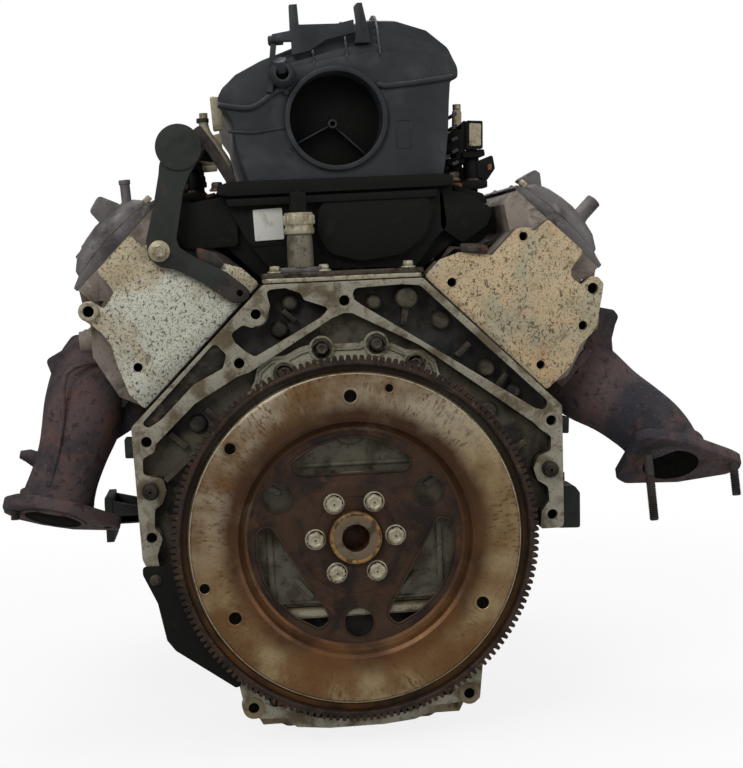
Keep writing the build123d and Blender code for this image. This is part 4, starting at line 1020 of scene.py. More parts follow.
@dataclass
class FlywheelEnd:
    """Flexplate with its ring gear, bolts and the crank's golden pilot ring."""

    hub_rear: float = -7.0
    plate: float = 3.0
    ring_radius: float = 179.9
    teeth: int = 168
    bolt_circle: float = 79.0
    pilot_radius: float = 25.8
    pilot_bore: float = 13.7

    def window(self, turn: float) -> list[Point]:
        """Outline of one rounded window, turned from +X towards +Z.

        Args:
            turn: angle of its middle in degrees.

        Returns:
            The outline.
        """
        corners = [(63, -50), (66, -56), (78, -59), (92, -36), (99, -12), (99, 12), (92, 36), (78, 59), (66, 56),
                   (63, 50)]
        angle = radians(turn)
        spun = [(a * cos(angle) - b * sin(angle), a * sin(angle) + b * cos(angle))
                for a, b in corners]
        return rounded(spun, 9, 4)

    def hub(self) -> None:
        """Flat rusty hub with three windows and three round holes, and a turned lip round each."""
        piece = Piece("flexplate_hub", "flexplate_steel", HUB_RUST, BOLT_DARK, body="crank", replaces=["flexplate"],
                      bevel=0.7)
        windows = [self.window(90 + 120 * n) for n in range(3)]
        rounds = [circle(*polar(85.4, 30 + 120 * n), 14.5, 24) for n in range(3)]
        centre = circle(0, 0, self.pilot_radius + 1.2, 40)
        rear = self.hub_rear
        piece.plate(circle(0, 0, 109, 96), rear, rear + self.plate, [*windows, *rounds, centre])
        for outline in windows:
            path = [Vector((x, rear - 0.2, z)) for x, z in outline]
            piece.rings(lip_rings(path, 1.3), 0, closed=True)
        for n in range(3):
            x, z = polar(85.4, 30 + 120 * n)
            piece.lathe([(14.2, 0), (16.2, 0), (15.6, -1.2), (14.4, -1.2)], (x, rear + 0.3, z), sides=28, closed=True)
        piece.lathe([(40, 0), (56, 0), (55, -1.0), (41, -1.0)], (0, rear + 0.3, 0), sides=72, closed=True)
        piece.finish_piece()

    def annulus(self) -> None:
        """Raised outer ring, slightly domed, with a painted highlight on a narrow step at its outer edge."""
        piece = Piece("flexplate_ring", "flexplate_steel", StreakedPlate(), BOLT_BRIGHT, PAINTED_HOLE_SHADOW, body="crank",
                      bevel=0)
        rear = [(106, -7.2), (109, -8.4), (112, -12), (115, -17), (118.5, -19.4), (126, -20.2), (140, -20.8),
                (154, -20.7), (160, -19.8), (162.6, -18), (163.8, -15), (165.2, -13.6), (170.2, -13.2)]
        front = [(170.2, -10.6), (162, -10.8), (159, -14), (154, -17), (140, -17.8), (120, -17), (114, -9),
                 (106, -4.2)]
        piece.lathe(rear + front, (0, 0, 0), sides=144, closed=True)
        for n in range(3):
            self.hole(piece, 140.3, 90 + 120 * n, 6.2, 9.4)
        for radius, angle, size in ((151, 75.4, 4), (152, 141.1, 5.6), (154.5, 194.7, 5)):
            self.hole(piece, radius, angle, size, size + 1.6)
        self.sheen(piece)
        piece.finish_piece()

    def hole(self, piece: Piece, radius: float, angle: float, bore: float, rim: float) -> None:
        """Hole in the raised ring, with its pressed rim and a black disc of painted shadow inside.

        Args:
            piece: piece to add to.
            radius, angle: place of its middle.
            bore, rim: radius of the hole and of its rim.
        """
        x, z = polar(radius, angle)
        face = -20.8
        piece.lathe([(bore, 0.6), (bore, -0.5), (bore + 0.6, -0.9), (rim - 0.6, -0.5), (rim, 0.6)], (x, face, z),
                    sides=28, closed=True)
        # Black disc in the hole: painted shadow.
        piece.lathe([(bore, 0.4), (bore, -0.15)], (x, face, z), sides=24, finish=2)

    def sheen(self, piece: Piece) -> None:
        """Narrow step at the outer edge in the bright bolt finish, a painted highlight."""
        # Painted highlight: a thin bright ring on the lip.
        piece.lathe([(161.4, -19.1), (162.3, -18.7), (162.8, -17.9), (161.8, -18.2)], (0, 0, 0), sides=144, finish=1,
                    closed=True)

    def ring(self) -> None:
        """Ring gear with its teeth."""
        piece = Piece("ring_gear_teeth", "gear_steel", GEAR, body="crank", replaces=["ring_gear"], bevel=0.25,
                      segments=1)
        points = []
        for n in range(self.teeth):
            middle = 360 * n / self.teeth
            for turn, radius in ((-0.86, 174.9), (-0.44, self.ring_radius), (0.44, self.ring_radius), (0.86, 174.9)):
                points.append(polar(radius, middle + turn))
        piece.plate(points, -22.6, -12.4, [circle(0, 0, 171.4, 120)])
        profile = [(170.4, -21.4), (171.2, -23), (173.6, -23), (174.3, -22.2), (174.3, -12), (170.4, -12)]
        piece.lathe(profile, (0, 0, 0), sides=144, closed=True)
        piece.finish_piece()

    def bolts(self, repeater: Repeater) -> None:
        """Six flanged bolts round the pilot ring.

        Args:
            repeater: tree that sets the heads.
        """
        head = bolt_head("hub_bolt_head", 14.6, 8.6, 10.4)
        seats = []
        for n in range(6):
            x, z = polar(self.bolt_circle / 2, 60 * n)
            seats.append(((x, self.hub_rear - 0.1, z), (0, -1, 0)))
        piece = repeater.run("flexplate_bolt_heads", seats, head, 1.0, BOLT_BRIGHT, 1.0, 11)
        hand_over(piece, "crank", ["flexplate_bolts"])

    def pilot(self) -> None:
        """Golden ring of the crank end, with its stepped bore."""
        piece = Piece("pilot_ring", "crank_steel", GOLD, BORE_RUST, body="crank", bevel=0.5)
        piece.lathe([(self.pilot_bore, -7.6), (self.pilot_bore + 5, -8.8), (self.pilot_radius - 4.6, -13.4),
                     (self.pilot_radius - 3.4, -14.2), (self.pilot_radius - 1, -14.2), (self.pilot_radius, -13),
                     (self.pilot_radius, -4), (self.pilot_bore, -4)], (0, 0, 0), sides=56, closed=True)
        piece.lathe([(self.pilot_bore - 0.2, -9), (self.pilot_bore - 0.2, 10), (self.pilot_bore + 2, 10),
                     (self.pilot_bore + 2, -9)], (0, 0, 0), sides=40, closed=True, finish=1)
        piece.lathe([(self.pilot_bore + 1, 9), (self.pilot_bore + 1, 11)], (0, 0, 0), finish=1)
        piece.finish_piece()

    def build(self, repeater: Repeater) -> None:
        """Build the whole rotating end.

        Args:
            repeater: tree that sets the bolt heads.
        """
        self.hub()
        self.annulus()
        self.ring()
        self.bolts(repeater)
        self.pilot()


def lip_rings(path: Sequence[Vector], radius: float, sides: int = 6) -> list[list[Vector]]:
    """Rings of a thin bead along a closed path in a plane across the crank.

    Args:
        path: middle line of the bead.
        radius: radius of the bead.
        sides: sides of the bead.

    Returns:
        The rings, to be closed on themselves.
    """
    rings = []
    count = len(path)
    for n, point in enumerate(path):
        ahead = (path[(n + 1) % count] - path[n - 1]).normalized()
        outward = ahead.cross(Vector((0, 1, 0)))
        rings.append([point + outward * radius * cos(a) + Vector((0, 1, 0)) * radius * sin(a)
                      for a in (tau * k / sides for k in range(sides))])
    return rings


def bolt_head(name: str, width: float, height: float, flange: float = 0.0) -> bpy.types.Object:
    """Hidden head in metres that stands along Z, for the repeater.

    Args:
        name: name of the hidden object.
        width: distance over the flats, in millimetres.
        height: height of the head.
        flange: radius of its flange, or nothing.

    Returns:
        The head, left out of every render.
    """
    sketch = Piece(name, "bright_steel", BOLT_BRIGHT, bevel=0)
    sketch.bolt((0, 0, 0), (0, 0, 1), width, height, flange=flange)
    bmesh.ops.scale(sketch.mesh, vec=(MM, MM, MM), verts=sketch.mesh.verts)
    head = add_object(name, sketch.mesh)
    head.data.materials.append(BOLT_BRIGHT.build())
    soften(head, 0.25, 1)
    head.hide_render = True
    head.hide_viewport = True
    return head


@dataclass
class BlockEnd:
    """Block: rear flange with its ribs and pockets, crankcase sides, rear cover and valley cover."""

    length: float = 517.0
    rim: float = 14.0
    floor: float = 20.0
    depth: float = 28.0
    dowel: Point = (196.9, 55.8)

    OUTER = [(78, 251), (212, 118.5), (211.5, 84), (210.5, 33), (209.5, -4), (187, -4)]
    LEFT_OUTER = [(-203, -24), (-208.5, -11), (-210, 33), (-211.5, 84), (-212.5, 118.5), (-78, 251)]
    LEFT_INNER = [(-108, 163), (-112.8, 160), (-149.7, 139), (-190, 101), (-191, 93.9), (-203, 88), (-203.5, 72),
                  (-184.6, 67), (-181.5, 56), (-185.8, 43.6), (-194, 37), (-195, 20), (-187.8, 9), (-194, -8),
                  (-192, -22.9)]
    RIB_LEFT = [(-0.9, 220.1), (-12.8, 215.7), (-95, 167)]
    RIB_RIGHT = [(7, 219.7), (72.4, 185.2), (183, 102.5)]
    RIGHT_INNER = [(189, 96), (200, 88), (199, 74), (186, 69), (181, 57), (184.5, 45), (195, 38), (196, 24),
                   (188, 14),
                   (186, -1)]
    TOP_RIGHT = [(10, 243.9), (57.2, 245.7), (74.9, 243.9), (197.9, 123.4), (194.6, 114.6), (184.6, 117.2),
                 (17.1, 227), (7.6, 234.3)]
    TOP_LEFT = [(-76, 245.8), (-57.1, 247), (-42.8, 241.5), (-39.2, 234.5), (-14.3, 225.6), (-24.5, 216.3),
                (-89.5, 181.4), (-97.9, 186.7), (-108, 196), (-112, 205), (-100, 213), (-91, 209.7), (-77, 216.8),
                (-72.5, 230.2)]
    CAST_LEFT = [(-128, 197), (-117, 185), (-121, 172), (-150, 157.5), (-183, 125), (-196, 117), (-202, 122)]
    BOSSES = [(-198.5, 104, 9.6, 5.2), (200.5, 104, 9.6, 5.2), (-198.4, 9.9, 9.6, 5.2), (198.6, 9.9, 9.6, 5.2),
              (0, 232.3, 10, 5.2), (-105.1, 176, 10, 5.2), (-86.7, 222.8, 12, 5.0)]
    COVER_BOLTS = [(-62, 164), (-24, 186), (30, 188), (68, 167), (-108, 20), (108, 20), (-108, -48), (108, -48)]

    def rear_rim(self) -> None:
        """Machined rim and ribs of the rear face, standing over cast pockets."""
        piece = Piece("block_rear_rim", "block_iron", BLOCK_CAST, BLOCK_MACHINED, PAINTED_HOLE_SHADOW, bevel=1.6, segments=3)
        outer = [*self.OUTER, *reversed(self.RIGHT_INNER), *reversed(self.RIB_RIGHT), *self.RIB_LEFT,
                 *self.LEFT_INNER, *self.LEFT_OUTER]
        holes = [rounded(self.TOP_RIGHT, 6), rounded(self.TOP_LEFT, 5), rounded(self.CAST_LEFT, 5)]
        holes += [circle(x, z, bore + 0.6, 20) for x, z, _, bore in self.BOSSES]
        piece.plate(rounded(outer, 5, 3), 0, self.rim, holes, 0, 1)
        for x, z, radius, bore in self.BOSSES:
            piece.lathe([(bore, -0.5), (radius - 0.8, -0.5), (radius + 1.5, 13.8), (bore, 13.8)], (x, 0, z), sides=32,
                        finish=1, closed=True)
            # Black sleeve deep in each bolt hole: painted shadow.
            piece.lathe([(bore + 0.4, 6), (bore + 0.4, 13)], (x, 0, z), sides=20, finish=2)
        for s in (-1, 1):
            x, z = s * self.dowel[0], self.dowel[1]
            piece.lathe([(8.4, -0.5), (13.2, -0.5), (14.6, 13.8), (8.4, 13.8)],
                        (x, 0, z), sides=36, finish=1, closed=True)
        piece.finish_piece()

    def pockets(self) -> None:
        """Cast floors behind the rim, with ribs, lugs and a post that stand in the pockets."""
        piece = Piece("block_rear_floor", "block_iron", POCKET_SHADE, BLOCK_CAST, replaces=["engine_block"], bevel=1.2)
        full = [*self.OUTER, (170, -22), (134, -24), (134, -70), (-134, -70), (-134, -24),
                (-170, -24), *self.LEFT_OUTER]
        inset = [(x * 0.992, z * 0.996) for x, z in full]
        # Deep floor in the dark pocket finish: painted shade at the bottom of the pockets.
        piece.plate(inset, self.floor, self.depth, finish=0)
        recess = [*self.RIB_RIGHT, *self.RIGHT_INNER, (170, -22), (133, -26), (133, -68), (-133, -68), (-133, -26),
                  *reversed(self.LEFT_INNER), *reversed(self.RIB_LEFT)]
        piece.plate([(x * 0.998, z * 0.998) for x, z in recess], self.rim + 1, self.floor, [circle(0, 0, 60, 40)], 1)
        piece.plate([(x * 0.995, z * 0.998) for x, z in self.CAST_LEFT], 5, self.floor, finish=1)
        for path, width, start in (
            ([(-182.8, 64.1), (-157.4, 86.2), (-146, 94)], 5, 4), ([(-60, 225), (-48, 214)], 5, 9),
            ([(58, 205), (64, 236)], 6, 11), ([(110, 172), (124, 184)], 6, 12), ([(150, 140), (160, 152)], 6, 12),
            ([(-176, 110), (-160, 96)], 6, 8), ([(150, 104), (128, 90)], 6, 9), ([(176, 84), (158, 74)], 6, 9),
            ([(176, 20), (158, 26)], 5, 9), ([(-176, 10), (-158, 18)], 5, 9), ([(-140, 132), (-120, 112)], 7, 9),
            ([(-168, -10), (-148, 6)], 5, 10), ([(168, -8), (150, 4)], 5, 10),
        ):
            self.rib(piece, path, width, start)
        piece.lathe([(9, 4), (10.5, 6), (11, 20)], (62, 0, 232), sides=28, finish=1)
        piece.lathe([(4, 3.4), (8, 3.6), (8.6, 5)], (62, 0, 232), sides=24, finish=1)
        for x, z, radius, front in ((30, 229, 7, 12), (-52, 232, 7, 10), (-64, 206, 8, 11), (96, 208, 9, 12),
                                    (140, 158, 8, 12), (166, 134, 7, 12), (148, 60, 12, 11), (-150, 62, 12, 11),
                                    (-148, 118, 9, 10), (140, 116, 9, 10), (-160, -4, 8, 12), (160, 0, 8, 12)):
            piece.lathe([(radius - 2, front), (radius, front + 2), (radius + 1.5, 20)], (x, 0, z), sides=24, finish=1)
        for x, z in ((-166, 140), (-160, 132), (-176, 128), (-145, 168), (-138, 176)):
            piece.plate([(x - 3.4, z - 2.4), (x + 2.4, z - 3.4), (x + 3.4, z + 2.4),
                         (x - 2.4, z + 3.4)], 4.2, 6, finish=1)
        piece.finish_piece()

    def rib(self, piece: Piece, path: Outline, width: float, start: float) -> None:
        """Straight cast ribs of a given width along a path, from a start depth down to the floor."""
        for first, last in zip(path, path[1:]):
            piece.bar(first, last, width / 2, start, self.floor + 0.5, 1)

    def case(self) -> None:
        """Crankcase and banks in front of the rear flange, with core plugs, ribs and the mount pads."""
        piece = Piece("block_case", "block_iron", BLOCK_CAST, BOLT_DARK, POCKET_SHADE, bevel=2.2)
        section = mirrored([(79, 250.4), (210, 119.5), (151, 60), (136, 20), (136, -56), (150, -60), (150, -69.5)])
        piece.plate(section, self.depth, self.length - 0.5)
        for s in (-1, 1):
            for n in range(4):
                y = 88 + BORE_SPACING * n + (6 if s < 0 else -6)
                piece.lathe([(24, 0), (23, 5), (20, 6)], (s * 170, y, 84), (s, 0, -1), 28)
                piece.lathe([(19, 0), (18, -2.2), (19, 6.6)], (s * 170.4, y, 83.6), (s, 0, -1), 28, 1)
            for n in range(BANK_CYLINDERS + 1):
                y = min(34 + BORE_SPACING * n, 505)
                piece.plate(self.wall_rib(s), y, y + 8)
            pad = sided(s, [(134, -34), (151.5, -34), (151.5, 44), (134, 44)])
            piece.plate(pad, 214, 318)
            piece.plate(sided(s, [(134, -20), (144, -14), (144, 30), (134, 36)]), 380, 470)
        piece.finish_piece()

    def wall_rib(self, s: int) -> list[Point]:
        """Upright rib on the outside of the crankcase."""
        return sided(s, [(134, -58), (143, -54), (143, 16), (156, 60), (196, 103), (176, 88), (134, 30)])

    def dowels(self) -> None:
        """Brown locating pins in the dowel bosses."""
        piece = Piece("dowel_pins", "dark_steel", DARK_STEEL, PAINTED_HOLE_SHADOW, replaces=["bellhousing_dowels"], bevel=0.8)
        for s in (-1, 1):
            x, z = s * self.dowel[0], self.dowel[1]
            piece.lathe([(4.6, -12), (6.4, -11.4), (7.9, -9), (7.9, 12)], (x, 0, z), sides=28)
            piece.lathe([(1.2, -12.1), (2.2, -12.5), (3.4, -12.1)], (x, 0, z), sides=20)
        piece.finish_piece()

    def cover(self) -> None:
        """Bright cast rear cover round the crank, with a raised edge, ribs and bolt recesses."""
        piece = Piece("rear_cover_casting", "cover_alloy", REAR_COVER, PAINTED_HOLE_SHADOW, replaces=["rear_cover"], bevel=1.2)
        top = [(14, 190), (22, 193.5), (45.6, 188), (60, 181), (76, 180), (88, 170), (91, 157), (108, 128),
               (118, 100),
               (124, 50), (128, 30), (124, 10), (122, -40), (126, -60), (120, -69)]
        outline = rounded(mirrored(top), 7)
        piece.plate(outline, 8, 14, [circle(0, 0, 58, 48)])
        path = [Vector((x, 8.2, z)) for x, z in outline]
        piece.rings(lip_rings([Vector((p.x * 0.965, p.y, p.z * 0.965 + 1.5)) for p in path], 2.2), 0, closed=True)
        piece.lathe([(58, 2), (62, 2), (64, 3), (64, 8.5), (58, 8.5)], (0, 0, 0), sides=64, closed=True)
        for x, z in self.COVER_BOLTS:
            piece.lathe([(10.4, 6.4), (12.4, 6.2), (13, 8.4), (10.4, 8.4)], (x, 0, z), sides=28, closed=True)
        for a, b in (((-48, 150), (-36, 128)), ((48, 152), (38, 128)), ((0, 178), (0, 132)), ((-98, 60), (-72, 46)),
                     ((98, 60), (72, 46)), ((-84, -62), (-84, 30)), ((84, -62), (84, 30)), ((-40, 174), (-20, 168)),
                     ((-60, -40), (-44, -60)), ((60, -40), (44, -60)), ((-110, 80), (-78, 88)), ((110, 80),
                                                                                                 (78, 88))):
            piece.bar(a, b, 2.4, 4.5, 8.5)
        for z in (70, 96, 118):
            half = 62 - (z - 70) * 0.3
            piece.plate([(-half, z), (half, z), (half, z + 3), (-half, z + 3)], 5.6, 8.5)
        piece.lathe([(16, 3.4), (18, 5), (19, 8.4)], (0, 0, 108), sides=32)
        piece.finish_piece()

    def valley(self, repeater: Repeater) -> None:
        """Valley cover in two plates, with the pad that carries the pressure sensor.

        Args:
            repeater: tree that sets the bolt heads.
        """
        piece = Piece("valley_plates", "cover_alloy", BOLT_DARK, BOLT_BRIGHT, COVER_CAST, replaces=["valley_cover"],
                      bevel=0.9)
        low = rounded([(-78, 2), (78, 2), (78, 511), (-78, 511)], 8)
        self.flat(piece, low, 252, 256.4, 1)
        upper = rounded([(-79, 3), (-10, 1), (-4, 6), (20, 8), (50, 8), (56, 2), (80, 2), (80, 509), (-79, 509)], 7)
        self.flat(piece, upper, 256.4, 261.6, 0)
        self.flat(piece, rounded([(-62, 4), (-14, 4), (-12, 34), (-60, 36)], 8), 261.4, 266.5, 2)
        self.flat(piece, rounded([(-30, 50), (30, 50), (30, 460), (-30, 460)], 12), 261.4, 264.5, 0)
        piece.finish_piece()
        head = bolt_head("valley_bolt_head", 9.2, 7, 7.2)
        seats = [((x, y, 261.6), (0, 0, 1)) for x, y in (
            (-66, 10), (-18, 9), (65, 9), (-70, 100), (70, 100), (-70, 240), (70, 240), (-70, 380), (70, 380),
            (-70, 490), (70, 490))]
        bolts = repeater.run("valley_bolt_heads", seats, head, 1.0, BOLT_BRIGHT, 1.0, 5)
        hand_over(bolts, "block", ["valley_cover_bolts"])

    def flat(self, piece: Piece, outline: Outline, low: float, high: float, finish: int = 0) -> None:
        """Horizontal plate from an outline in X and Y."""
        rings = [[Vector((x, y, z)) for x, y in outline] for z in (low, high)]
        piece.rings(rings, finish)

    def cover_bolts(self, repeater: Repeater) -> None:
        """Dark flanged bolts of the rear cover.

        Args:
            repeater: tree that sets the heads.
        """
        head = bolt_head("cover_bolt_head", 10.6, 7.4, 9.4)
        seats = [((x, 6.8, z), (0, -1, 0)) for x, z in self.COVER_BOLTS]
        bolts = repeater.run("rear_cover_bolt_heads", seats, head, 1.0, BOLT_DARK, 1.0, 7)
        hand_over(bolts, "block", ["rear_cover_bolts"])

    def build(self, repeater: Repeater) -> None:
        """Build the block and what is bolted to its rear.

        Args:
            repeater: tree that sets the bolt heads.
        """
        self.rear_rim()
        self.pockets()
        self.case()
        self.dowels()
        self.cover()
        self.valley(repeater)
        self.cover_bolts(repeater)


@dataclass
class Head:
    """One cylinder head with its machined ends, gasket edge, valve cover and plugs."""

    side: Side
    rear: float
    finish: Finish
    length: float = 482.0
    face: float = 236.0
    rail: float = 363.0

    RIGHT_FACE = [(-120.8, 236.2), (-120.5, 258.5), (-110.8, 277.4), (-89.2, 293.8), (-84.9, 296.6), (-84.8, 332.3),
                  (-81, 338), (-75, 342.7), (-69.7, 342.9), (-67.5, 361), (-19.9, 362), (-16.7, 340.1),
                  (-12.3, 335.5), (1.4, 335.6), (3.3, 349.7), (8.9, 353.4), (17, 352.6), (22, 346), (40.9, 316.7),
                  (42.4, 307.9), (41.5, 292.7), (43.1, 287.3), (48.8, 270), (47, 236.2)]
    LEFT_FACE = [(-120.8, 236.2), (-120.5, 258.5), (-110.8, 277.4), (-89.2, 293.8), (-84.9, 296.6), (-84.8, 332.3),
                 (-81, 338), (-75, 342.7), (-71, 344), (-70.4, 360.8), (-22.3, 360.8), (-20.4, 342.6), (-18.2, 334.7),
                 (0.1, 331), (3, 346), (9, 350.5), (17, 349), (22, 342), (19.2, 318), (22, 302.4), (33.4, 283),
                 (46.2, 257), (47, 236.2)]
    RIGHT_HOLES = [(-74.5, 331.8, 4.4), (-96.4, 250, 4.6), (12.5, 341.5, 5.6), (30.3, 307.7, 4.6), (25.4, 250, 4.4)]
    LEFT_HOLES = [(-96.4, 250, 4.6), (12.1, 340.5, 5.6), (20.8, 268.3, 4.6), (-74.5, 331.8, 4.4)]

    @property
    def holes(self) -> list[Point]:
        """Holes of the rear end as u, v and radius."""
        return self.RIGHT_HOLES if self.side is Side.RIGHT else self.LEFT_HOLES

    def ends(self) -> None:
        """Machined end plates with their holes, and the cast body between them."""
        outline = self.RIGHT_FACE if self.side is Side.RIGHT else self.LEFT_FACE
        place = bank_place(self.side)
        piece = Piece(f"head_{self.side.label}_body", "head_alloy", self.finish, HEAD_CAST, PAINTED_HOLE_SHADOW,
                      replaces=[f"cylinder_head_{self.side.label}"], bevel=1.2)
        cuts = [circle(u, v, r, 20) for u, v, r in self.holes]
        rear, front = self.rear, self.rear + self.length
        piece.plate(rounded(outline, 3, 2), rear, rear + 9, cuts, 1, 0, place)
        # Near-black slab behind the machined end, seen through its holes: painted shadow.
        piece.plate(rounded(outline, 3, 2), rear + 9, rear + 15, finish=2, place=place)
        piece.plate(rounded(outline, 3, 2), front - 14, front, place=place)
        body = [(-120, 236.2), (-120, 257), (-86, 293), (-86, 328), (-109, 344), (-109, 362.8), (4.5, 362.8),
                (4.5, 346), (-5, 337), (22, 331), (44, 308), (56, 262), (46.5, 236.2)]
        piece.plate(body, rear + 14, front - 13, finish=1, place=place)
        self.trim(piece, rear, front, place)
        piece.finish_piece()

    def trim(self, piece: Piece, rear: float, front: float, place: Place) -> None:
        """Port bosses, plug bosses and ribs along the head.

        Args:
            piece: piece to add to.
            rear, front: ends of the head.
            place: function that places u and v.
        """
        for y in self.side.cylinders:
            for across in (-26, 26):
                foot, tip = place(30, 314, y + across), place(46, 328, y + across)
                piece.rod(foot, tip, 13, 20, 1, 11.5)
            piece.plate([(40, 258), (57, 258), (57, 296), (44, 304)], y - 30, y + 30, finish=1, place=place)
            piece.plate([(-116, 262), (-112, 282), (-90, 298), (-88, 316), (-92, 300),
                         (-118, 280)], y - 26, y + 26, finish=1,
                        place=place)
        for n in range(9):
            y = rear + 24 + n * 54
            piece.plate([(4, 338), (12, 338), (16, 346), (5, 362)], y, min(y + 7, front - 16), finish=1, place=place)
        for n in range(3):
            y = rear + 90 + n * 140
            piece.plate([(-2, 332), (8, 334), (10, 360), (-2, 362)], y - 9, y + 9, finish=1, place=place)

    def rear_fittings(self) -> None:
        """Plug, boss and edge details of the machined rear end."""
        place = bank_place(self.side)
        piece = Piece(f"head_{self.side.label}_fittings", "head_alloy", self.finish, STRUT, BOLT_DARK, PAINTED_HOLE_SHADOW,
                      BOLT_BRIGHT,
                      bevel=0.7)
        rear = self.rear
        if self.side is Side.LEFT:
            piece.lathe([(5.6, -5.5), (9, -5.5), (10, -3), (10, 1),
                         (5.6, 1)], place(12.1, 340.5, rear), sides=28, finish=4,
                        closed=True)
        for u, v, r in self.holes:
            centre = place(u, v, rear)
            piece.lathe([(r, 0.4), (r, -0.3), (r + 1.1, -0.3), (r + 1.4, 0.4)], centre, sides=24, closed=True)
        if self.side is Side.RIGHT:
            bar = [(118, 283), (140, 282), (146, 277), (144, 271), (118, 275)]
            piece.plate(rounded(bar, 3), rear - 4, rear + 1, finish=1)
            piece.plate(rounded([(124, 281), (138, 281), (138, 273), (124, 275)], 3), rear - 5, rear, finish=2)
        else:
            piece.plate(rounded([(-142, 291), (-122, 284), (-114, 273), (-120, 267),
                                 (-140, 280)], 4), rear - 3, rear + 1,
                        [], 1)
        piece.finish_piece()

    def gasket(self) -> None:
        """Edge of the head gasket."""
        place = bank_place(self.side)
        piece = Piece(f"head_gasket_{self.side.label}_edge", "gasket_steel", BOLT_DARK,
                      replaces=[f"head_gasket_{self.side.label}"], bevel=0)
        piece.plate([(-120, 234.8), (-120, 236.1), (46, 236.1), (46, 234.8)], self.rear, self.rear + self.length,
                    place=place)
        piece.finish_piece()

    def cover(self) -> None:
        """Valve cover: a flat rail with bolt lugs and a domed roof with cast ribs and coil bosses."""
        place = bank_place(self.side)
        piece = Piece(f"valve_cover_{self.side.label}_casting", "cover_alloy", COVER_CAST, PAINTED_HOLE_SHADOW, BOLT_DARK,
                      replaces=[f"valve_cover_{self.side.label}"], bevel=2.4, segments=3)
        rear, front = self.rear + 14, self.rear + self.length
        rail = [(-112, 363.2), (-112, 367), (-100, 371), (-80, 373.6), (-53, 375), (-26, 373.6), (-8, 371), (6, 367),
                (6, 363.2)]
        piece.plate(rail, rear + 2, front - 1, place=place)
        piece.plate([(-53 + (u + 53) * 0.97, 363.2 + (v - 363.2) * 1.12) for u, v in rail], rear + 5.5, rear + 9, [],
                    2,
                    None, place)
        piece.plate([(-53 + (u + 53) * 0.985, 363.2 + (v - 363.2) * 1.3) for u, v in rail], rear + 9, front - 6,
                    place=place)
        rings = []
        roof = [(-105, 369), (-104, 378), (-98, 385.5), (-84, 391), (-68, 394), (-53, 395), (-36, 393), (-18, 388),
                (-6, 379), (-3, 369)]
        for y, shrink in ((rear + 12, 0.5), (rear + 13.5, 0.7), (rear + 17, 0.86), (rear + 24, 0.96),
                          (rear + 34, 1.0),
                          (front - 24, 1.0), (front - 15, 0.98), (front - 10, 0.93), (front - 8, 0.86)):
            rings.append([place(-53 + (u + 53) * (0.86 + 0.14 * shrink), 369 + (v - 369) * shrink, y)
                          for u, v in rounded(roof, 4, 3)])
        piece.rings(rings)
        for n in range(BANK_CYLINDERS):
            y = rear + 62 + n * BORE_SPACING
            for u in (-88, -22):
                piece.lathe([(8, 0), (7.4, 4), (3.4, 4.4)], place(u, 389 if u < -50 else 387, y),
                            tuple(place(0, 1, 0)), 20)
            piece.plate([(-84, 390), (-26, 388.5), (-26, 393.6), (-54, 396.6), (-84, 393.4)], y - 3, y + 3,
                        place=place)
        for n in range(5):
            y = rear + 44 + n * 97
            for u in (-106, -1):
                piece.lathe([(6.5, 0), (6.5, 6), (5.5, 7)], place(u, 363.4, y), tuple(place(0, 1, 0)), 20)
        self.cover_top(piece, rear, place)
        piece.finish_piece()

    def cover_top(self, piece: Piece, rear: float, place: Place) -> None:
        """Tubes and lugs that stand on the rear of the cover.

        Args:
            piece: piece to add to.
            rear: rear end of the cover.
            place: function that places u and v.
        """
        up = tuple(place(0, 1, 0))
        if self.side is Side.RIGHT:
            piece.lathe([(10, 0), (8.6, 5), (8, 8), (8, 26), (7, 27)], place(-40, 388, rear + 30), up, 28)
            # Black disc in the tube's open end: painted shadow.
            piece.lathe([(5, 27), (5, 27.6)], place(-40, 388, rear + 30), up, 20, 1)
            piece.plate(rounded([(-114, 372), (-88, 384), (-101, 395), (-107, 394)], 3), rear + 20, rear + 40,
                        place=place)
        else:
            piece.lathe([(8, 0), (6, 6), (5, 10), (5, 26), (5.8, 27), (5.8, 31)], place(-86, 381, rear + 30),
                        (-0.06, 0, 1), 24)
            piece.plate(rounded([(-88, 386), (-58, 388), (-60, 408), (-78, 412)], 5), rear + 20, rear + 56,
                        place=place)

    def plugs(self) -> None:
        """Spark plugs with white insulators over the exhaust side."""
        place = bank_place(self.side)
        piece = Piece(f"plugs_{self.side.label}", "bright_steel", BOLT_BRIGHT, STICKER,
                      replaces=["spark_plugs"] if self.side is Side.LEFT else [], bevel=0)
        for cylinder in self.side.cylinders:
            y = cylinder + 26
            foot = place(42, 324, y)
            axis = tuple(place(27, 21.6, 0))
            piece.lathe([(9.5, 0), (9.5, 7), (7, 8)], foot, axis, 6)
            piece.lathe([(5, 8), (5, 16), (3.4, 20), (2.4, 24)], foot, axis, 16, 1)
        piece.finish_piece()

    def build(self) -> None:
        """Build the head and its cover."""
        self.ends()
        self.rear_fittings()
        self.gasket()
        self.cover()
        self.plugs()


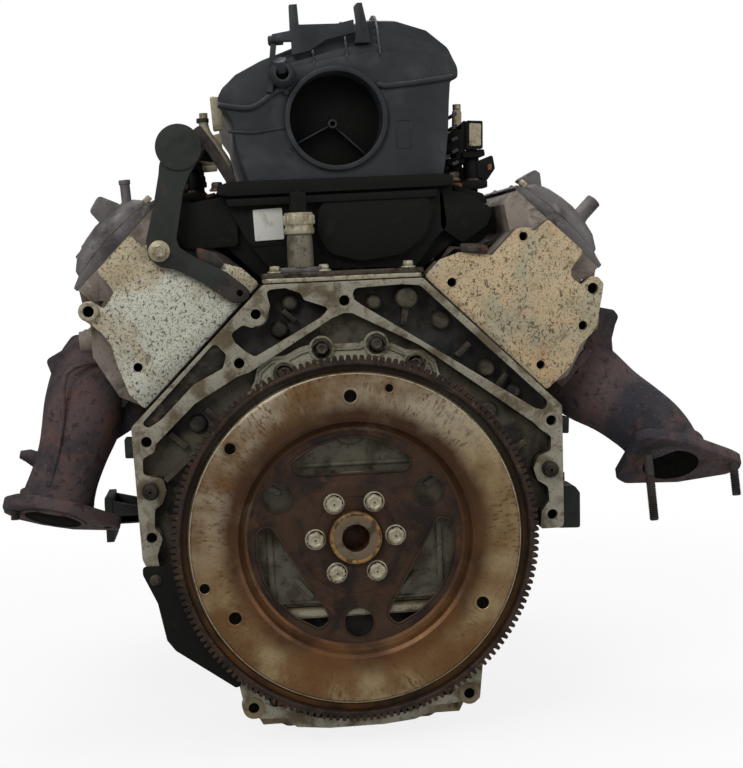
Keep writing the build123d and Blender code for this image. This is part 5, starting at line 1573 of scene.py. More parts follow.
@dataclass
class Intake:
    """Black plastic manifold: domed upper shell with a deep round recess, seam flange and tapered lower shell."""

    rear: float = 30.0
    front: float = 492.0
    lip: float = 441.0
    centre: Point = (2.5, 411.0)
    mouth_height: float = 412.0
    mouth_radius: float = 38.4

    ROOF = [(108, 347), (112, 366), (116, 396), (118, 425), (120, 446), (128, 453), (128, 464), (121, 480),
            (100, 497),
            (70, 506.5), (42, 507.5), (8, 501), (-30, 486), (-68, 473), (-95, 460), (-109, 447), (-114, 437),
            (-112, 428), (-102, 412), (-99, 388), (-93, 367), (-86, 347)]

    def section(self, lift: float, squeeze: float) -> list[Point]:
        """Section of the dome.

        Args:
            lift: height above the lip, as a share of that of the rear edge.
            squeeze: width, as a share of the full one.

        Returns:
            The outline.
        """
        lip, middle = self.lip, 4
        return [(x * squeeze + middle * (1 - squeeze), z if z < lip else lip + (z - lip) * lift)
                for x, z in rounded(self.ROOF, 8, 3)]

    def steps(self, piece: Piece, start: float, hole: Outline, rows: Sequence[Point]) -> None:
        """Slabs of a rounded end, each with a hole.

        Args:
            piece: piece to add to.
            start: rear face of the first slab.
            hole: outline of the hole.
            rows: front face, lift and squeeze of each slab.
        """
        for end, lift, squeeze in rows:
            piece.plate(self.section(lift, squeeze), start, end, [hole])
            start = end

    def upper(self) -> None:
        """Upper shell, rounded at both ends, with a deep recess behind and the air inlet in front."""
        piece = Piece("intake_upper_dome", "black_plastic", PLASTIC, PLASTIC_DARK, replaces=["intake_upper_shell"],
                      bevel=1.6)
        rows = [(70, 1.03, 0.995), (84, 1.09, 1.0), (100, 1.13, 1.0), (self.front - 30, 1.13, 1.0)]
        piece.rings([[Vector((x, y, z)) for x, z in self.section(lift, squeeze)] for y, lift, squeeze in rows])
        self.steps(piece, self.rear + 2, circle(*self.centre, 47, 56), (
            (38, 0.5, 0.975), (44, 0.64, 0.985), (50, 0.77, 0.99), (57, 0.88, 0.992), (64, 0.97, 0.994),
            (71, 1.03, 0.995)))
        front = self.front
        self.steps(piece, front - 30, circle(0, self.mouth_height, self.mouth_radius, 48), (
            (front - 20, 1.12, 1.0), (front - 12, 1.08, 0.995), (front - 6, 1.0, 0.985), (front - 2, 0.92, 0.975),
            (front, 0.84, 0.96)))
        piece.finish_piece()

    def rear_face(self) -> None:
        """Recess with its hub and two thin ribs, lip line, dome ribs, nipple, tabs and panel."""
        piece = Piece("intake_rear_details", "black_plastic", PLASTIC, PLASTIC_DARK, PAINTED_HOLE_SHADOW, STICKER, bevel=0.6)
        x, z = self.centre
        piece.lathe([(46, self.rear - 3), (50.6, self.rear - 3), (51.4, self.rear), (51.4, 40), (46, 69)], (x, 0, z),
                    sides=64, closed=True)
        piece.lathe([(46.4, 66), (46.4, 70.5)], (x, 0, z), sides=56, finish=1)
        piece.lathe([(2.6, 42), (4.4, 42), (5, 67), (2.6, 67)], (x - 3, 0, z - 4), sides=28, closed=True)
        for angle in (-151, -50):
            end = polar(45, angle)
            piece.bar((x - 3, z - 4), (x + end[0], z + end[1]), 0.8, 50, 67)
        self.bead(piece, [(-113, 428), (-86, 424), (-73, 428), (-61, 436), (-50, 441),
                          (-44, 436)], 3.0, self.rear + 1)
        self.bead(piece, [(44, 443), (52, 441), (80, 443), (121, 448)], 3.0, self.rear + 1)
        self.bead(piece, [(-104, 402), (-80, 400), (-49, 404)], 1.6, self.rear + 1.5)
        for across, high in ((-17, 491), (16, 502.5), (49, 507.4)):
            self.fin(piece, across, high)
        piece.bar((62, 380), (62, 407), 0.6, self.rear + 1.2, self.rear + 3)
        piece.bar((76, 379), (76, 406), 0.6, self.rear + 1.2, self.rear + 3)
        piece.bar((61, 380), (77, 380), 0.6, self.rear + 1.2, self.rear + 3)
        piece.bar((61, 407), (77, 407), 0.6, self.rear + 1.2, self.rear + 3)
        piece.lathe([(6, 16), (8, 15), (12.4, 20), (13.4, 30), (15, 52), (6, 52)],
                    (-49, 0, 455), sides=36, closed=True)
        # Black sleeve inside the nipple: painted shadow.
        piece.lathe([(6.2, 20), (6.2, 40)], (-49, 0, 455), finish=2)
        piece.rod((-49, 24, 458), (-51, 18, 468), 7.4, 24, 0, 6.6)
        tower = [(-39, 523), (-31, 523.4), (-30, 503.5), (8, 503.5), (24, 507), (24, 494), (-4, 488), (-20, 478),
                 (-38, 474), (-38, 488), (-57, 488), (-57, 495), (-39, 498)]
        piece.plate(tower, self.rear + 2, self.rear + 12)
        piece.plate([(25, 520), (28, 523), (33, 523), (36, 508), (40, 484), (24, 484), (27, 500)], self.rear + 2,
                    self.rear + 12)
        piece.lathe([(5, 0), (5, 14), (3, 15)], (-46, 38, 490), (-1, 0, -0.05), 20)
        piece.bar((-62, 438), (-56, 484), 2.8, self.rear - 6, self.rear + 6)
        for n in range(6):
            piece.bar((118, 350 + n * 12), (124, 353 + n * 12), 1.6, 40, 52 + n * 4)
        piece.finish_piece()

    def bead(self, piece: Piece, path: Outline, radius: float, y: float) -> None:
        """Moulded bead across the rear face."""
        points = [(x, y, z) for x, z in path]
        piece.sweep(points, [(radius, radius)] * len(points), 12)

    def fin(self, piece: Piece, x: float, high: float) -> None:
        """Upright fin on the dome that runs back over the roof.

        Args:
            piece: piece to add to.
            x: place across.
            high: height of the rear edge there.
        """
        rise = [(y, self.lip + (high - self.lip) * lift) for y, lift in (
            (33, 0.42), (41, 0.58), (47, 0.71), (53, 0.83), (60, 0.93), (67, 1.0), (77, 1.07), (92, 1.115),
            (102, 1.13),
            (440, 1.13))]
        shape = [(z + 4.4, y - 2) for y, z in rise] + [(z - 7, y) for y, z in reversed(rise)]
        piece.rings([[Vector((x + a, y, z)) for z, y in shape] for a in (-1.2, 1.2)])

    def lower(self) -> None:
        """Lower shell with its seam flange, belly, runners and legs."""
        piece = Piece("intake_lower_body", "black_plastic", PLASTIC_DARK, PLASTIC, replaces=["intake_lower_shell"],
                      bevel=2.4, segments=3)
        seam = rounded([(-118, 349), (-118, 341), (-106, 339), (104, 341), (116, 342), (116, 351), (104, 353),
                        (-106, 353)], 2)
        piece.plate(seam, self.rear - 1, self.front - 2)
        belly = [(-112, 341), (106, 342), (110, 300), (98, 290), (77, 262), (-70, 266), (-91, 295), (-106, 324)]
        piece.plate(rounded(belly, 14, 4), self.rear + 12, self.front - 4)
        self.round_belly(piece)
        ledge = [(-110, 336), (100, 338), (100, 331), (-108, 329)]
        piece.plate(ledge, self.rear + 2, self.rear + 20)
        for side in Side:
            s = side.value
            runner = sided(s, [(98, 342), (120, 344), (144, 328), (165, 306), (148, 285), (128, 279), (100, 292)])
            for y in side.cylinders:
                piece.plate(rounded(runner, 7, 3), y - 29, y + 29)
                piece.plate(rounded(sided(s, [(118, 344), (150, 333), (156, 322), (128, 326)]), 3), y - 32, y + 32)
                piece.plate(sided(s, [(108, 352), (116, 352), (122, 342), (108, 338)]), y - 3, y + 3)
        left = [(-150, 334), (-108, 340), (-100, 332), (-100, 290), (-152, 289), (-158, 300)]
        piece.plate(rounded(left, 6), self.rear + 14, self.rear + 40)
        piece.plate([(-118, 344), (-90, 344), (-62, 262), (-76, 254), (-112, 290)], self.rear + 22, self.rear + 44)
        piece.plate([(118, 346), (90, 346), (62, 262), (76, 254), (120, 288)], self.rear + 22, self.rear + 44)
        piece.plate([(-158, 340), (-161, 293), (-117, 271), (-88, 243), (-76, 243),
                     (-72, 314)], self.rear + 50, self.rear + 62)
        right = [(104, 340), (137, 331), (158, 316), (150, 300), (125, 284), (104, 300)]
        piece.plate(rounded(right, 6), self.rear + 12, self.rear + 40)
        piece.finish_piece()

    def round_belly(self, piece: Piece) -> None:
        """Rounded end of the runner plenum, right of the sensor.

        Args:
            piece: piece to add to.
        """
        for y, grow in ((34, 0.9), (40, 0.97), (47, 1.0)):
            outline = [(-24, 334), (96, 337), (102, 318), (92, 292), (66, 272), (20, 266), (-16, 276), (-28, 300)]
            middle = Vector((36, 306))
            shape = [tuple(middle + (Vector(p) - middle) * grow) for p in rounded(outline, 18, 4)]
            piece.plate(shape, y, y + 7.5)

    def legs(self) -> None:
        """Bolts with copper washers at the seam, and the blank label on a dark backing."""
        piece = Piece("intake_fixings", "bright_steel", BOLT_DARK, COPPER, STICKER, PLASTIC_DARK, bevel=0.5)
        for x, z, y in ((-118, 341, 44), (118, 342, 44), (-118, 341, 300), (118, 342, 300)):
            piece.lathe([(7.5, 0), (7.5, 2)], (x, y, z + 4), (0, 0, 1), 24, 1)
            piece.bolt((x, y, z + 6), (0, 0, 1), 10, 7, 0, 6.4)
        piece.plate(rounded([(-84, 325), (-55, 326), (-54, 295),
                             (-83, 294)], 1.5), self.rear + 9.5, self.rear + 11.5, finish=2)
        piece.plate(rounded([(-88, 330), (-50, 331), (-50, 290),
                             (-88, 288)], 4), self.rear + 11, self.rear + 16, finish=3)
        piece.finish_piece()

    def build(self) -> None:
        """Build the manifold."""
        self.upper()
        self.rear_face()
        self.lower()
        self.legs()


@dataclass
class FuelSide:
    """Fuel rail, injectors and their connectors along one side of the manifold."""

    side: Side

    def build(self) -> None:
        """Build the rail with its brackets and the four injectors."""
        s = self.side.value
        rail = Piece(f"fuel_rail_{self.side.label}", "rail_steel", TAN, BOLT_DARK, COPPER, PLASTIC_DARK,
                     replaces=["fuel_rails"] if s < 0 else [], bevel=1.0)
        rail.plate(rounded(sided(s, [(135, 384), (151, 384), (151, 400), (135, 400)]), 2), 62, 468)
        for y in (62, 150, 300, 420):
            bracket = sided(s, [(118, 389), (137, 388), (138, 403), (129, 404), (118, 396)])
            rail.plate(rounded(bracket, 2), y, y + 12, finish=0)
        rail.plate(rounded(sided(s, [(135, 378), (152, 378), (153, 406), (136, 407)]), 2), 58, 64, finish=3)
        rail.plate(sided(s, [(112, 374), (136, 378), (137, 406), (134, 407), (116, 392)]), 60, 74, finish=3)
        rail.plate(rounded(sided(s, [(138, 381), (150, 381), (151, 403), (139, 404)]), 1.5), 56.6, 59, finish=0)
        rail.plate(rounded(sided(s, [(123, 399), (131, 398), (132, 416), (124, 419)]), 2), 60, 72, finish=0)
        rail.rod((s * 128, 66, 408), (s * 128, 66, 424), 4.2, 16, 0)
        rail.finish_piece()
        jets = Piece(f"injectors_{self.side.label}", "black_plastic", PLASTIC_DARK, COPPER, BOLT_DARK,
                     replaces=["fuel_injectors"] if s < 0 else [], bevel=0.6)
        for cylinder in self.side.cylinders:
            y = cylinder - 14
            jets.lathe([(5, 0), (5, 8), (8, 10), (9.4, 14), (9.4, 30), (7.2, 33), (7.2, 42), (6, 44), (6, 50)],
                       (s * 143, y, 334), (0, 0, 1), 24, 0)
            jets.lathe([(9.8, 12), (9.8, 15)], (s * 143, y, 334), (0, 0, 1), 24, 2)
            connector = sided(s, [(146, 366), (163, 372), (165, 358), (156, 346), (147, 350)])
            jets.plate(rounded(connector, 2.5), y - 10, y + 8)
            jets.plate(rounded(sided(s, [(132, 377), (154, 378), (155, 371), (132, 370)]), 2), y - 12, y + 10)
            jets.plate(rounded(sided(s, [(128, 346), (156, 347), (156, 339), (128, 338)]), 2), y - 13, y + 11)
            jets.plate(rounded(sided(s, [(120, 346), (130, 344), (129, 335),
                                         (120, 337)]), 1.5), y - 14, y - 4, finish=1)
            jets.plate(rounded(sided(s, [(157, 362), (161, 363), (161, 357),
                                         (157, 356)]), 1), y - 13, y - 9, finish=1)
        jets.finish_piece()


@dataclass
class Exhaust:
    """Cast manifold of one side: ports, log, elbow and outlet flange."""

    side: Side

    def build(self) -> None:
        """Build the manifold and its studs."""
        if self.side is Side.LEFT:
            self.left()
        else:
            self.right()

    def log(self, piece: Piece) -> None:
        """Port flanges, stubs and the log along the head.

        Args:
            piece: piece to add to.
        """
        place = bank_place(self.side)
        for y in self.side.cylinders:
            piece.plate(rounded([(57.5, 252), (66, 252), (66, 300), (57.5, 300)], 2), y - 33, y + 33, place=place)
            path = [place(62, 276, y), place(80, 276, y), place(92, 275, y)]
            piece.sweep(path, [(17, 23), (18, 22), (20, 20)], 24)
            for across in (-27, 27):
                piece.bolt(place(66, 276, y + across), tuple(place(1, 0, 0)), 12, 8, 1, 8)
        rear = self.side.cylinders[0] - 8
        centre = [place(97, 276, rear + y) for y in (0, 60, 200, 300, 352, 358)]
        piece.sweep(centre, [(26, 26), (25, 25), (26, 26), (25, 25), (22, 22), (12, 12)], 32, 0, (0, 0, 1))

    def left(self) -> None:
        """Elbow that drops steeply beside the block, with a tilted oval flange."""
        piece = Piece("exhaust_left_casting", "exhaust_iron", EXHAUST, BOLT_DARK, PAINTED_HOLE_SHADOW,
                      replaces=["exhaust_manifold_left"], bevel=1.4, segments=2)
        self.log(piece)
        path = [(-246, 118, 186), (-256, 106, 165), (-263, 96, 140), (-268, 88, 118), (-278, 82, 88), (-287, 80, 64),
                (-294, 79, 44), (-297, 79, 32)]
        sizes = [(36, 34), (40, 38), (41, 40), (40, 40), (35, 37), (34, 36), (36, 36), (38, 37)]
        piece.sweep(path, sizes, 48)
        shield = [(-300, 184), (-268, 201), (-246, 204), (-238, 176), (-256, 160), (-292, 160)]
        piece.plate(rounded(shield, 6), 84, 100)
        piece.sweep([(-330, 76, 90), (-322, 78, 88), (-312, 80, 82)], [(4, 4), (7, 7), (9, 9)], 20)
        oval = [(-57, -12), (-44, -34), (-20, -42), (14, -40), (40, -24), (62, -10), (62, 4), (40, 20), (14, 38),
                (-20, 41), (-44, 33), (-57, 12)]
        self.flange(piece, (-294, 79, 27), 13, 22, oval, (-6, 0))
        piece.plate([(-260, 191), (-237, 180), (-200, 135), (-212, 111), (-238, 96), (-258, 67), (-268, 99),
                     (-271, 151)], 90, 112)
        piece.sweep([(-244, 70, 181), (-264, 60, 178), (-278, 52, 167), (-283, 48, 125), (-290, 46, 91),
                     (-300, 46, 60)], [(2.4, 2.4)] * 6, 12)
        piece.finish_piece()
        self.studs("exhaust_studs_left", [(-338, 72, 34, 10), (-246, 78, 18, 9)], 12)

    def right(self) -> None:
        """Elbow that sweeps outwards, with a three-cornered flange tipped towards the rear."""
        piece = Piece("exhaust_right_casting", "exhaust_iron", EXHAUST, BOLT_DARK, PAINTED_HOLE_SHADOW,
                      replaces=["exhaust_manifold_right"], bevel=1.4, segments=2)
        self.log(piece)
        path = [(234, 102, 154), (247, 94, 143), (262, 84, 130), (284, 76, 113), (303, 71, 98), (318, 66, 84),
                (327, 62, 70), (332, 59, 56)]
        sizes = [(38, 32), (42, 36), (42, 38), (37, 37), (36, 36), (36, 37), (37, 38), (38, 38)]
        piece.sweep(path, sizes, 48)
        lug = [(256, 213), (268, 212), (286, 208), (291, 201), (287, 192), (283, 178), (284, 160), (268, 140),
               (248, 160)]
        piece.plate(rounded(lug, 5), 74, 96)
        corner = [(-51, -46), (-42, -54), (-20, -53), (6, -44), (58, -16), (70, -8), (72, 6), (60, 16), (12, 34),
                  (-44, 38), (-56, 28)]
        self.flange(piece, (340, 57, 49), 4, 38, corner, (-5, -3))
        piece.finish_piece()
        self.studs("exhaust_studs_right", [(304, 24, 60, 66), (401, 50, 48, 38)], 27)

    def flange(self, piece: Piece, centre: Point, lean: float, tip: float, outline: Outline, mouth: Point) -> None:
        """Flange under an elbow, leaning along X and tipped towards the rear, with a black disc of painted shadow in
        its mouth.

        Args:
            piece: piece to add to.
            centre: middle of the flange.
            lean, tip: turns in degrees about Y and X.
            outline: corners of the flange in its own plane.
            mouth: middle of its mouth in that plane.
        """
        turn = Matrix.Rotation(radians(lean), 4, "Y") @ Matrix.Rotation(radians(-tip), 4, "X")
        corners = rounded(outline, 8, 4)

        def at(a: float, b: float, c: float) -> Vector:
            """Place of a point of the flange."""
            return Vector(centre) + turn @ Vector((a, b, c))

        piece.rings([[at(a * k, b * k, c) for a, b in corners] for c, k in ((6, 0.97), (4, 1), (-5, 1),
                                                                            (-6.5, 0.985))])
        bore = circle(*mouth, 30, 44)
        neck = circle(*mouth, 38, 44)
        piece.rings([[at(a, b, c) for a, b in neck] for c in (16, 2)])
        outer, inner = circle(*mouth, 34.5, 44), circle(*mouth, 29, 44)
        piece.rings([[at(a, b, -6) for a, b in outer], [at(a, b, -7.6) for a, b in outer],
                     [at(a, b, -7.6) for a, b in inner], [at(a, b, -6) for a, b in inner]], closed=True)
        # Black disc in the mouth: painted shadow.
        piece.rings([[at(a, b, c) for a, b in bore] for c in (-6.9, -5.4)], 2)

    def studs(self, name: str, places: Sequence[Point], tip: float) -> None:
        """Threaded studs that stand out of the flange, square to it.

        Args:
            name: name of the piece.
            places: foot and length of each stud.
            tip: lean towards the rear in degrees.
        """
        piece = Piece(name, "dark_steel", STRUT, replaces=["exhaust_studs"] if "left" in name else [], bevel=0)
        axis = (0, -sin(radians(tip)) * 0.6, -1)
        for x, y, z, length in places:
            profile = [(4.6, 0), (4.6, length * 0.3)]
            steps = round(length * 0.34)
            for n in range(steps):
                profile += [(4.0, length * 0.3 + 1 + n * 2), (4.9, length * 0.3 + 2 + n * 2)]
            piece.lathe([*profile, (3.4, length)], (x, y, z), axis, 20)
        piece.finish_piece()


@dataclass
class Brackets:
    """Lifting plate, strap, pressure sensor, mounts and small pieces round the rear end."""

    def lift(self) -> None:
        """Black lifting plate on the left head with one bolt."""
        piece = Piece("lift_plate", "bracket_black", BRACKET, TAN, PAINTED_HOLE_SHADOW, STRUT,
                      replaces=["lift_bracket", "lift_bracket_bolts"], bevel=2.0, segments=3)
        arm = [(-172, 378), (-174, 362), (-181, 330), (-189.5, 299), (-188, 282), (-178, 273), (-161.5, 269),
               (-138, 256), (-109, 234.6), (-98, 234), (-91, 239), (-93, 248), (-113, 265), (-140, 279), (-158, 291),
               (-160, 300), (-151, 345), (-144, 362), (-135, 374)]
        piece.plate(rounded(arm, 8, 4), 22, 29.6)
        piece.lathe([(22.4, 19.6), (22.4, 29.6), (0.1, 29.6), (0.1, 19.6)], (-153.5, 0, 388), sides=48)
        piece.plate(rounded([(-124, 245.4), (-109, 235.4), (-98, 234.8), (-91.6, 239.4), (-93.6, 247.4),
                             (-112, 263)], 4),
                    21.4, 24, finish=3)
        # Black disc in the hole of the plate: painted shadow.
        piece.lathe([(3.2, 20.8), (3.2, 22.6)], (-101, 0, 244), sides=20, finish=2)
        piece.bolt((-177.3, 22, 288), (0, -1, 0), 13, 8, 1, 10.6, 0.3)
        piece.finish_piece()

    def strap(self) -> None:
        """Rusty second strap, tubes and a tan bracket behind the lifting plate."""
        piece = Piece("rear_left_strap", "bracket_black", STRUT, TAN, BRACKET, BOLT_DARK, bevel=0.9)
        self.strip(piece, [(-136, 408), (-122, 388), (-104, 356), (-100, 330)], 5.2, 44, 50, 0)
        piece.plate(rounded([(-163, 315), (-147, 306), (-130, 292), (-113, 281), (-88, 260), (-100, 248), (-133, 270),
                             (-162, 287)], 4), 52, 66, finish=0)
        piece.sweep([(-129, 60, 418), (-126, 60, 404), (-116, 60, 388), (-107, 60, 372), (-104, 62, 352)],
                    [(4.8, 4.8)] * 5, 20, 1)
        piece.lathe([(6.2, 0), (6.2, 4)], (-129, 60, 414), (0, 0.05, 1), 24, 2)
        piece.plate(rounded([(-121, 441), (-110, 440), (-109, 408), (-119, 406)], 2.5), 70, 78, finish=1)
        piece.plate(rounded([(-128, 400), (-112, 404), (-110, 384), (-122, 380)], 2.5), 66, 72, finish=1)
        piece.sweep([(-150, 56, 360), (-142, 52, 372), (-132, 54, 384), (-124, 60, 392)], [(3.4, 3.4)] * 4, 16, 2)
        piece.sweep([(-168, 64, 352), (-158, 58, 356), (-148, 60, 350)], [(4.4, 4.4)] * 3, 16, 2)
        piece.finish_piece()

    def strip(self, piece: Piece, path: Outline, half: float, start: float, end: float, finish: int) -> None:
        """Bent flat strip through points of a section.

        Args:
            piece: piece to add to.
            path: middle line.
            half: half of its width.
            start, end: its two faces.
            finish: number of its finish.
        """
        left, right = [], []
        for n, point in enumerate(path):
            ahead = (Vector(path[min(n + 1, len(path) - 1)]) - Vector(path[max(n - 1, 0)])).normalized()
            side = Vector((-ahead.y, ahead.x)) * half
            left.append(tuple(Vector(point) + side))
            right.append(tuple(Vector(point) - side))
        piece.plate(rounded([*left, *reversed(right)], 4), start, end, [], finish)

    def sensor(self) -> None:
        """Oil pressure sensor with a knurled bright ring and a black plug."""
        piece = Piece("pressure_sensor", "bright_steel", SENSOR_CAST, BOLT_BRIGHT, PLASTIC_DARK,
                      replaces=["oil_pressure_sensor"], bevel=0.7)
        x, y = -40.0, 15.0
        piece.lathe([(12.5, 266), (13, 268), (12.4, 296), (11, 299)], (x, y, 0), (0, 0, 1), 36, 0)
        piece.lathe([(11, 298), (14.4, 299), (14.8, 301), (14.8, 304), (13.6, 305), (13.6, 307), (14.8, 308),
                     (14.8, 317), (13.4, 319.6), (11, 319.6)], (x, y, 0), (0, 0, 1), 36, 1, closed=True)
        for n in range(18):
            a = tau * n / 18
            foot = (x + 14.4 * cos(a), y + 14.4 * sin(a), 308.4)
            piece.rod(foot, (foot[0], foot[1], 316.8), 1.5, 8, 1)
        plug = rounded([(x - 8, y - 7), (x + 8, y - 7), (x + 8, y + 7), (x - 8, y + 7)], 3)
        piece.rings([[Vector((a, b, z)) for a, b in plug] for z in (319, 322, 337, 339)], 2)
        piece.lathe([(4, 338), (4, 341)], (x, y, 0), (0, 0, 1), 20, 2)
        piece.finish_piece()

    def mounts(self) -> None:
        """Engine mount brackets with their gussets and end plates."""
        piece = Piece("mount_brackets", "bracket_black", BRACKET, BOLT_DARK, PAINTED_HOLE_SHADOW,
                      replaces=["engine_mount_brackets"], bevel=1.6)
        for s in (-1, 1):
            piece.plate(sided(s, [(150, -34), (158, -34), (158, 44), (150, 44)]), 214, 318)
            piece.plate(sided(s, [(156, -12), (262, -12), (262, -3), (156, -3)]), 231, 301)
            piece.plate(sided(s, [(253.6, -32), (262, -32), (262, 18), (253.6, 18)]), 230, 302)
            for y in (231, 295):
                piece.plate(sided(s, [(156, -10), (254, -10), (254, 14), (214, 4), (156, 36)]), y, y + 6)
            for y in (224, 308):
                for z in (-24, 34):
                    piece.bolt((s * 158, y, z), (s, 0, 0), 13, 8, 1, 10)
            for y in (242, 290):
                piece.lathe([(5.5, 0), (9, 0), (9, 1), (5.5, 1)], (s * 261.6, y, 8), (s, 0, 0), 24, 1, closed=True)
                # Black disc in each bolt hole: painted shadow.
                piece.lathe([(5.5, 0), (5.5, 0.7)], (s * 261.6, y, 8), (s, 0, 0), 20, 2)
        piece.finish_piece()

    def build(self) -> None:
        """Build every bracket."""
        self.lift()
        self.strap()
        self.sensor()
        self.mounts()


@dataclass
class Bottom:
    """Oil pan, dust cover and what hangs under the block."""

    def pan(self) -> None:
        """Oil pan with its rear flange, rail and bolts."""
        pan = Piece("oil_pan_casting", "cover_alloy", PAN_CAST, POCKET_SHADE, PAINTED_HOLE_SHADOW, BOLT_DARK, BLOCK_MACHINED,
                    replaces=["oil_pan"], bevel=1.4)
        flange = [(130, -72), (122, -141), (120, -157.5), (118.2, -172.7), (73.5, -175.7), (70.3, -181.6),
                  (51.8, -188.4), (20.5, -191.3), (-33.5, -191.4), (-66.2, -188.1), (-77.7, -178.1), (-100.4, -177.5),
                  (-116, -173.3), (-118.2, -157), (-120.5, -144.8), (-130, -72)]
        half = [(120, -78), (113, -136), (108, -150), (94, -155), (90, -166), (68, -167), (62, -174), (46, -180),
                (14, -183)]
        inner = [*half, *[(-x, z) for x, z in reversed(half)]]
        bolts = [circle(s * 107.7, -166, 6, 20) for s in (-1, 1)]
        pan.plate(rounded(flange, 4), 0, 12, [rounded(inner, 4), *bolts], 0, 4)
        # Inset plate behind the flange in the dark pocket finish: painted shade in the recess.
        pan.plate([(x * 0.985, z * 0.995) for x, z in flange], 11.6, 16, finish=1)
        for s in (-1, 1):
            x = s * 107.7
            pan.lathe([(5.4, -0.5), (10.8, -0.5), (12, 14), (5.4, 14)], (x, 0, -166), sides=32, closed=True)
            # Black sleeve in each bolt hole: painted shadow.
            pan.lathe([(5.6, 3), (5.6, 12)], (x, 0, -166), sides=24, finish=2)
            for n in range(4):
                pan.plate([(s * (92 - n * 9), -150 - n * 6), (s * (88 - n * 9), -150 - n * 6),
                           (s * (86 - n * 9), -166 - n * 4),
                           (s * (90 - n * 9), -166 - n * 4)], 4, 12)
            pan.plate(sided(s, [(60, -172), (64, -171), (58, -150), (54, -151)]), 2, 12)
        sump = mirrored([(128, -71), (124, -146), (100, -190), (74, -204.6)])
        pan.plate([(x * 0.98, z if z > -188 else -188) for x, z in rounded(sump, 10)], 15.6, 62)
        pan.plate(rounded(sump, 10), 60, 504)
        pan.plate(rounded([(-150, -70.4), (-150, -79.6), (150, -79.6), (150, -70.4)], 2), 0.5, 516.5)
        for n in range(7):
            y = 60 + 66 * n
            for s in (-1, 1):
                pan.bolt((s * 142, y, -79.6), (0, 0, -1), 10, 6, 3, 7)
                pan.plate(sided(s, [(124, -80), (134, -80), (126, -130), (122, -146)]), y + 30, y + 36)
        pan.lathe([(12, 0), (12, 3), (10, 3.4)], (40, 504, -160), (0, 1, 0), 24, 3)
        pan.finish_piece()

    def sheet(self) -> None:
        """Thin sheet that closes the corner beside the ring gear."""
        sheet = Piece("dust_sheet", "black_plastic", PLASTIC_DARK, BOLT_DARK, replaces=["dust_cover"], bevel=0.4)
        face = [(-208.9, -18), (-208.9, -26), (-196, -55), (-189, -92), (-181, -103), (-124, -144), (-119, -142),
                (-128, -74), (-130, -18)]
        sheet.plate(rounded(face, 5), -1.9, -0.3)
        sheet.bolt((-197, -1.9, -32), (0, -1, 0), 8, 4, 1, 5.6)
        sheet.finish_piece()

    def build(self) -> None:
        """Build both."""
        self.pan()
        self.sheet()


@dataclass
class SideFittings:
    """Dark cast lumps beside the block, between its flange and the manifolds."""

    def build(self) -> None:
        """Build the three lumps."""
        piece = Piece("side_fittings", "bracket_black", BRACKET, BOLT_DARK, bevel=1.2)
        piece.plate(rounded([(220, 27), (238, 26), (243, 19), (242, -18), (218, -17)], 3), 70, 110)
        piece.plate(rounded([(-224, 82), (-205, 81), (-205, 101), (-224, 102)], 2), 60, 80)
        piece.plate(rounded([(219, 100), (232, 100), (231, 83), (218, 84)], 2), 60, 80)
        piece.finish_piece()


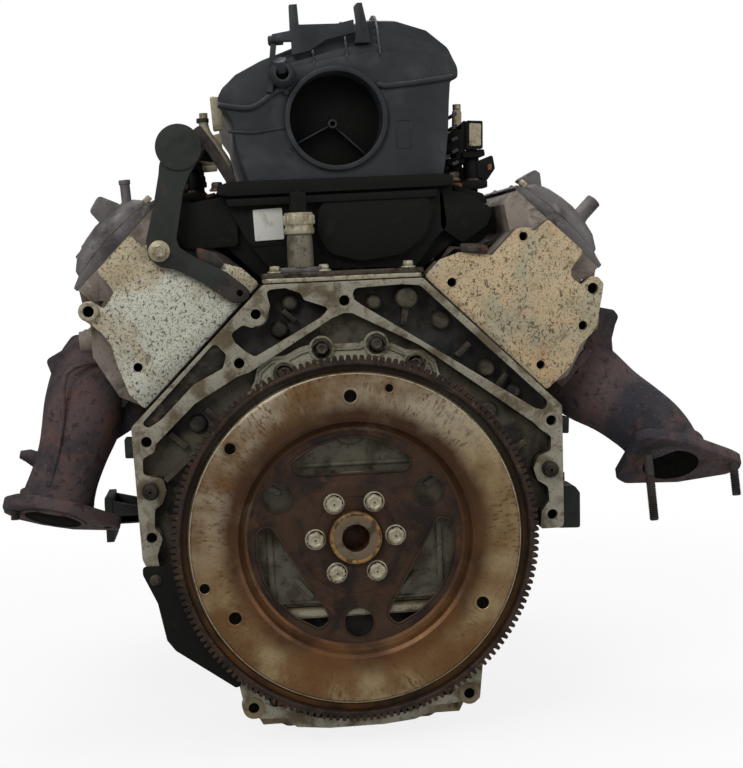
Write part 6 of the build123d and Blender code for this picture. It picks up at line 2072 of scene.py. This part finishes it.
@dataclass
class InnerParts:
    """CAD nodes that need no other shape: the crank and valve train inside, and the front end."""

    nodes: dict[str, bpy.types.Object]

    ROWS = [
        ("main_bearing_caps", "block", "cap_iron", BLOCK_CAST),
        ("rear_main_seal", "block", "seal_rubber", PLASTIC_DARK),
        ("crankshaft", "crank", "crank_steel", CRANK), ("camshaft", "cam", "crank_steel", CRANK),
        ("cam_sprocket", "cam", "gear_steel", DARK_STEEL), ("crank_sprocket", "crank", "gear_steel", DARK_STEEL),
        ("timing_chain", "block", "dark_steel", DARK_STEEL), ("oil_pump", "block", "cover_alloy", COVER_CAST),
        ("front_cover", "block", "cover_alloy", COVER_CAST), ("harmonic_balancer", "crank", "cap_iron", DARK_STEEL),
        ("balancer_bolt", "crank", "dark_steel", BOLT_DARK), ("water_pump", "block", "cover_alloy", COVER_CAST),
        ("water_pump_pulley", "pump_pulley", "bracket_black", BRACKET),
        ("throttle_body", "block", "cover_alloy", COVER_CAST),
        ("throttle_plate", "throttle", "bright_steel", BOLT_BRIGHT),
        ("lifters", "block", "bright_steel", BOLT_BRIGHT),
        ("pushrods", "block", "bright_steel", BOLT_BRIGHT), ("rocker_arms", "block", "bright_steel", BOLT_BRIGHT),
        ("valves", "block", "bright_steel", BOLT_BRIGHT), ("valve_springs", "block", "dark_steel", DARK_STEEL),
        ("connecting_rods", "block", "dark_steel", DARK_STEEL),
        ("valve_cover_bolts", "block", "bright_steel", BOLT_BRIGHT),
        *[(f"piston_{n}", f"piston_{n}_body", "piston_alloy", COVER_CAST) for n in range(1, 9)],
    ]

    def dress(self, node: str, body: str, slot: str, finish: Finish) -> None:
        """Copy a node, merge its triangles, soften its edges and let the copy stand for it.

        Args:
            node: name of the node.
            body, slot: body that it rides on and its slot in the record.
            finish: finish of the copy.
        """
        shape = bmesh.new()
        shape.from_mesh(self.nodes[node].data)
        bmesh.ops.remove_doubles(shape, verts=shape.verts, dist=1e-6)
        bmesh.ops.dissolve_limit(shape, angle_limit=radians(1.0), verts=shape.verts, edges=shape.edges)
        copy = add_object(f"{node}_dressed", shape)
        copy.data.materials.clear()
        copy.data.materials.append(finish.build())
        for face in copy.data.polygons:
            face.material_index = 0
        soften(copy, 0.6, 2)
        hand_over(copy, body, [node])

    def build(self) -> None:
        """Dress every node of the list."""
        for row in self.ROWS:
            self.dress(*row)


def main() -> None:
    """Build the studio and every sub-assembly in order."""
    logging.basicConfig(level=logging.INFO, format="%(message)s")
    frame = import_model()
    Studio().build()
    repeater = Repeater("heads_on_seats")
    BlockEnd().build(repeater)
    FlywheelEnd().build(repeater)
    Head(Side.RIGHT, 14.0, HEAD_RIGHT).build()
    Head(Side.LEFT, 30.0, HEAD_LEFT).build()
    Intake().build()
    for side in Side:
        FuelSide(side).build()
        Exhaust(side).build()
    Brackets().build()
    Bottom().build()
    SideFittings().build()
    InnerParts(frame["nodes"]).build()


if __name__ == "__main__":
    main()
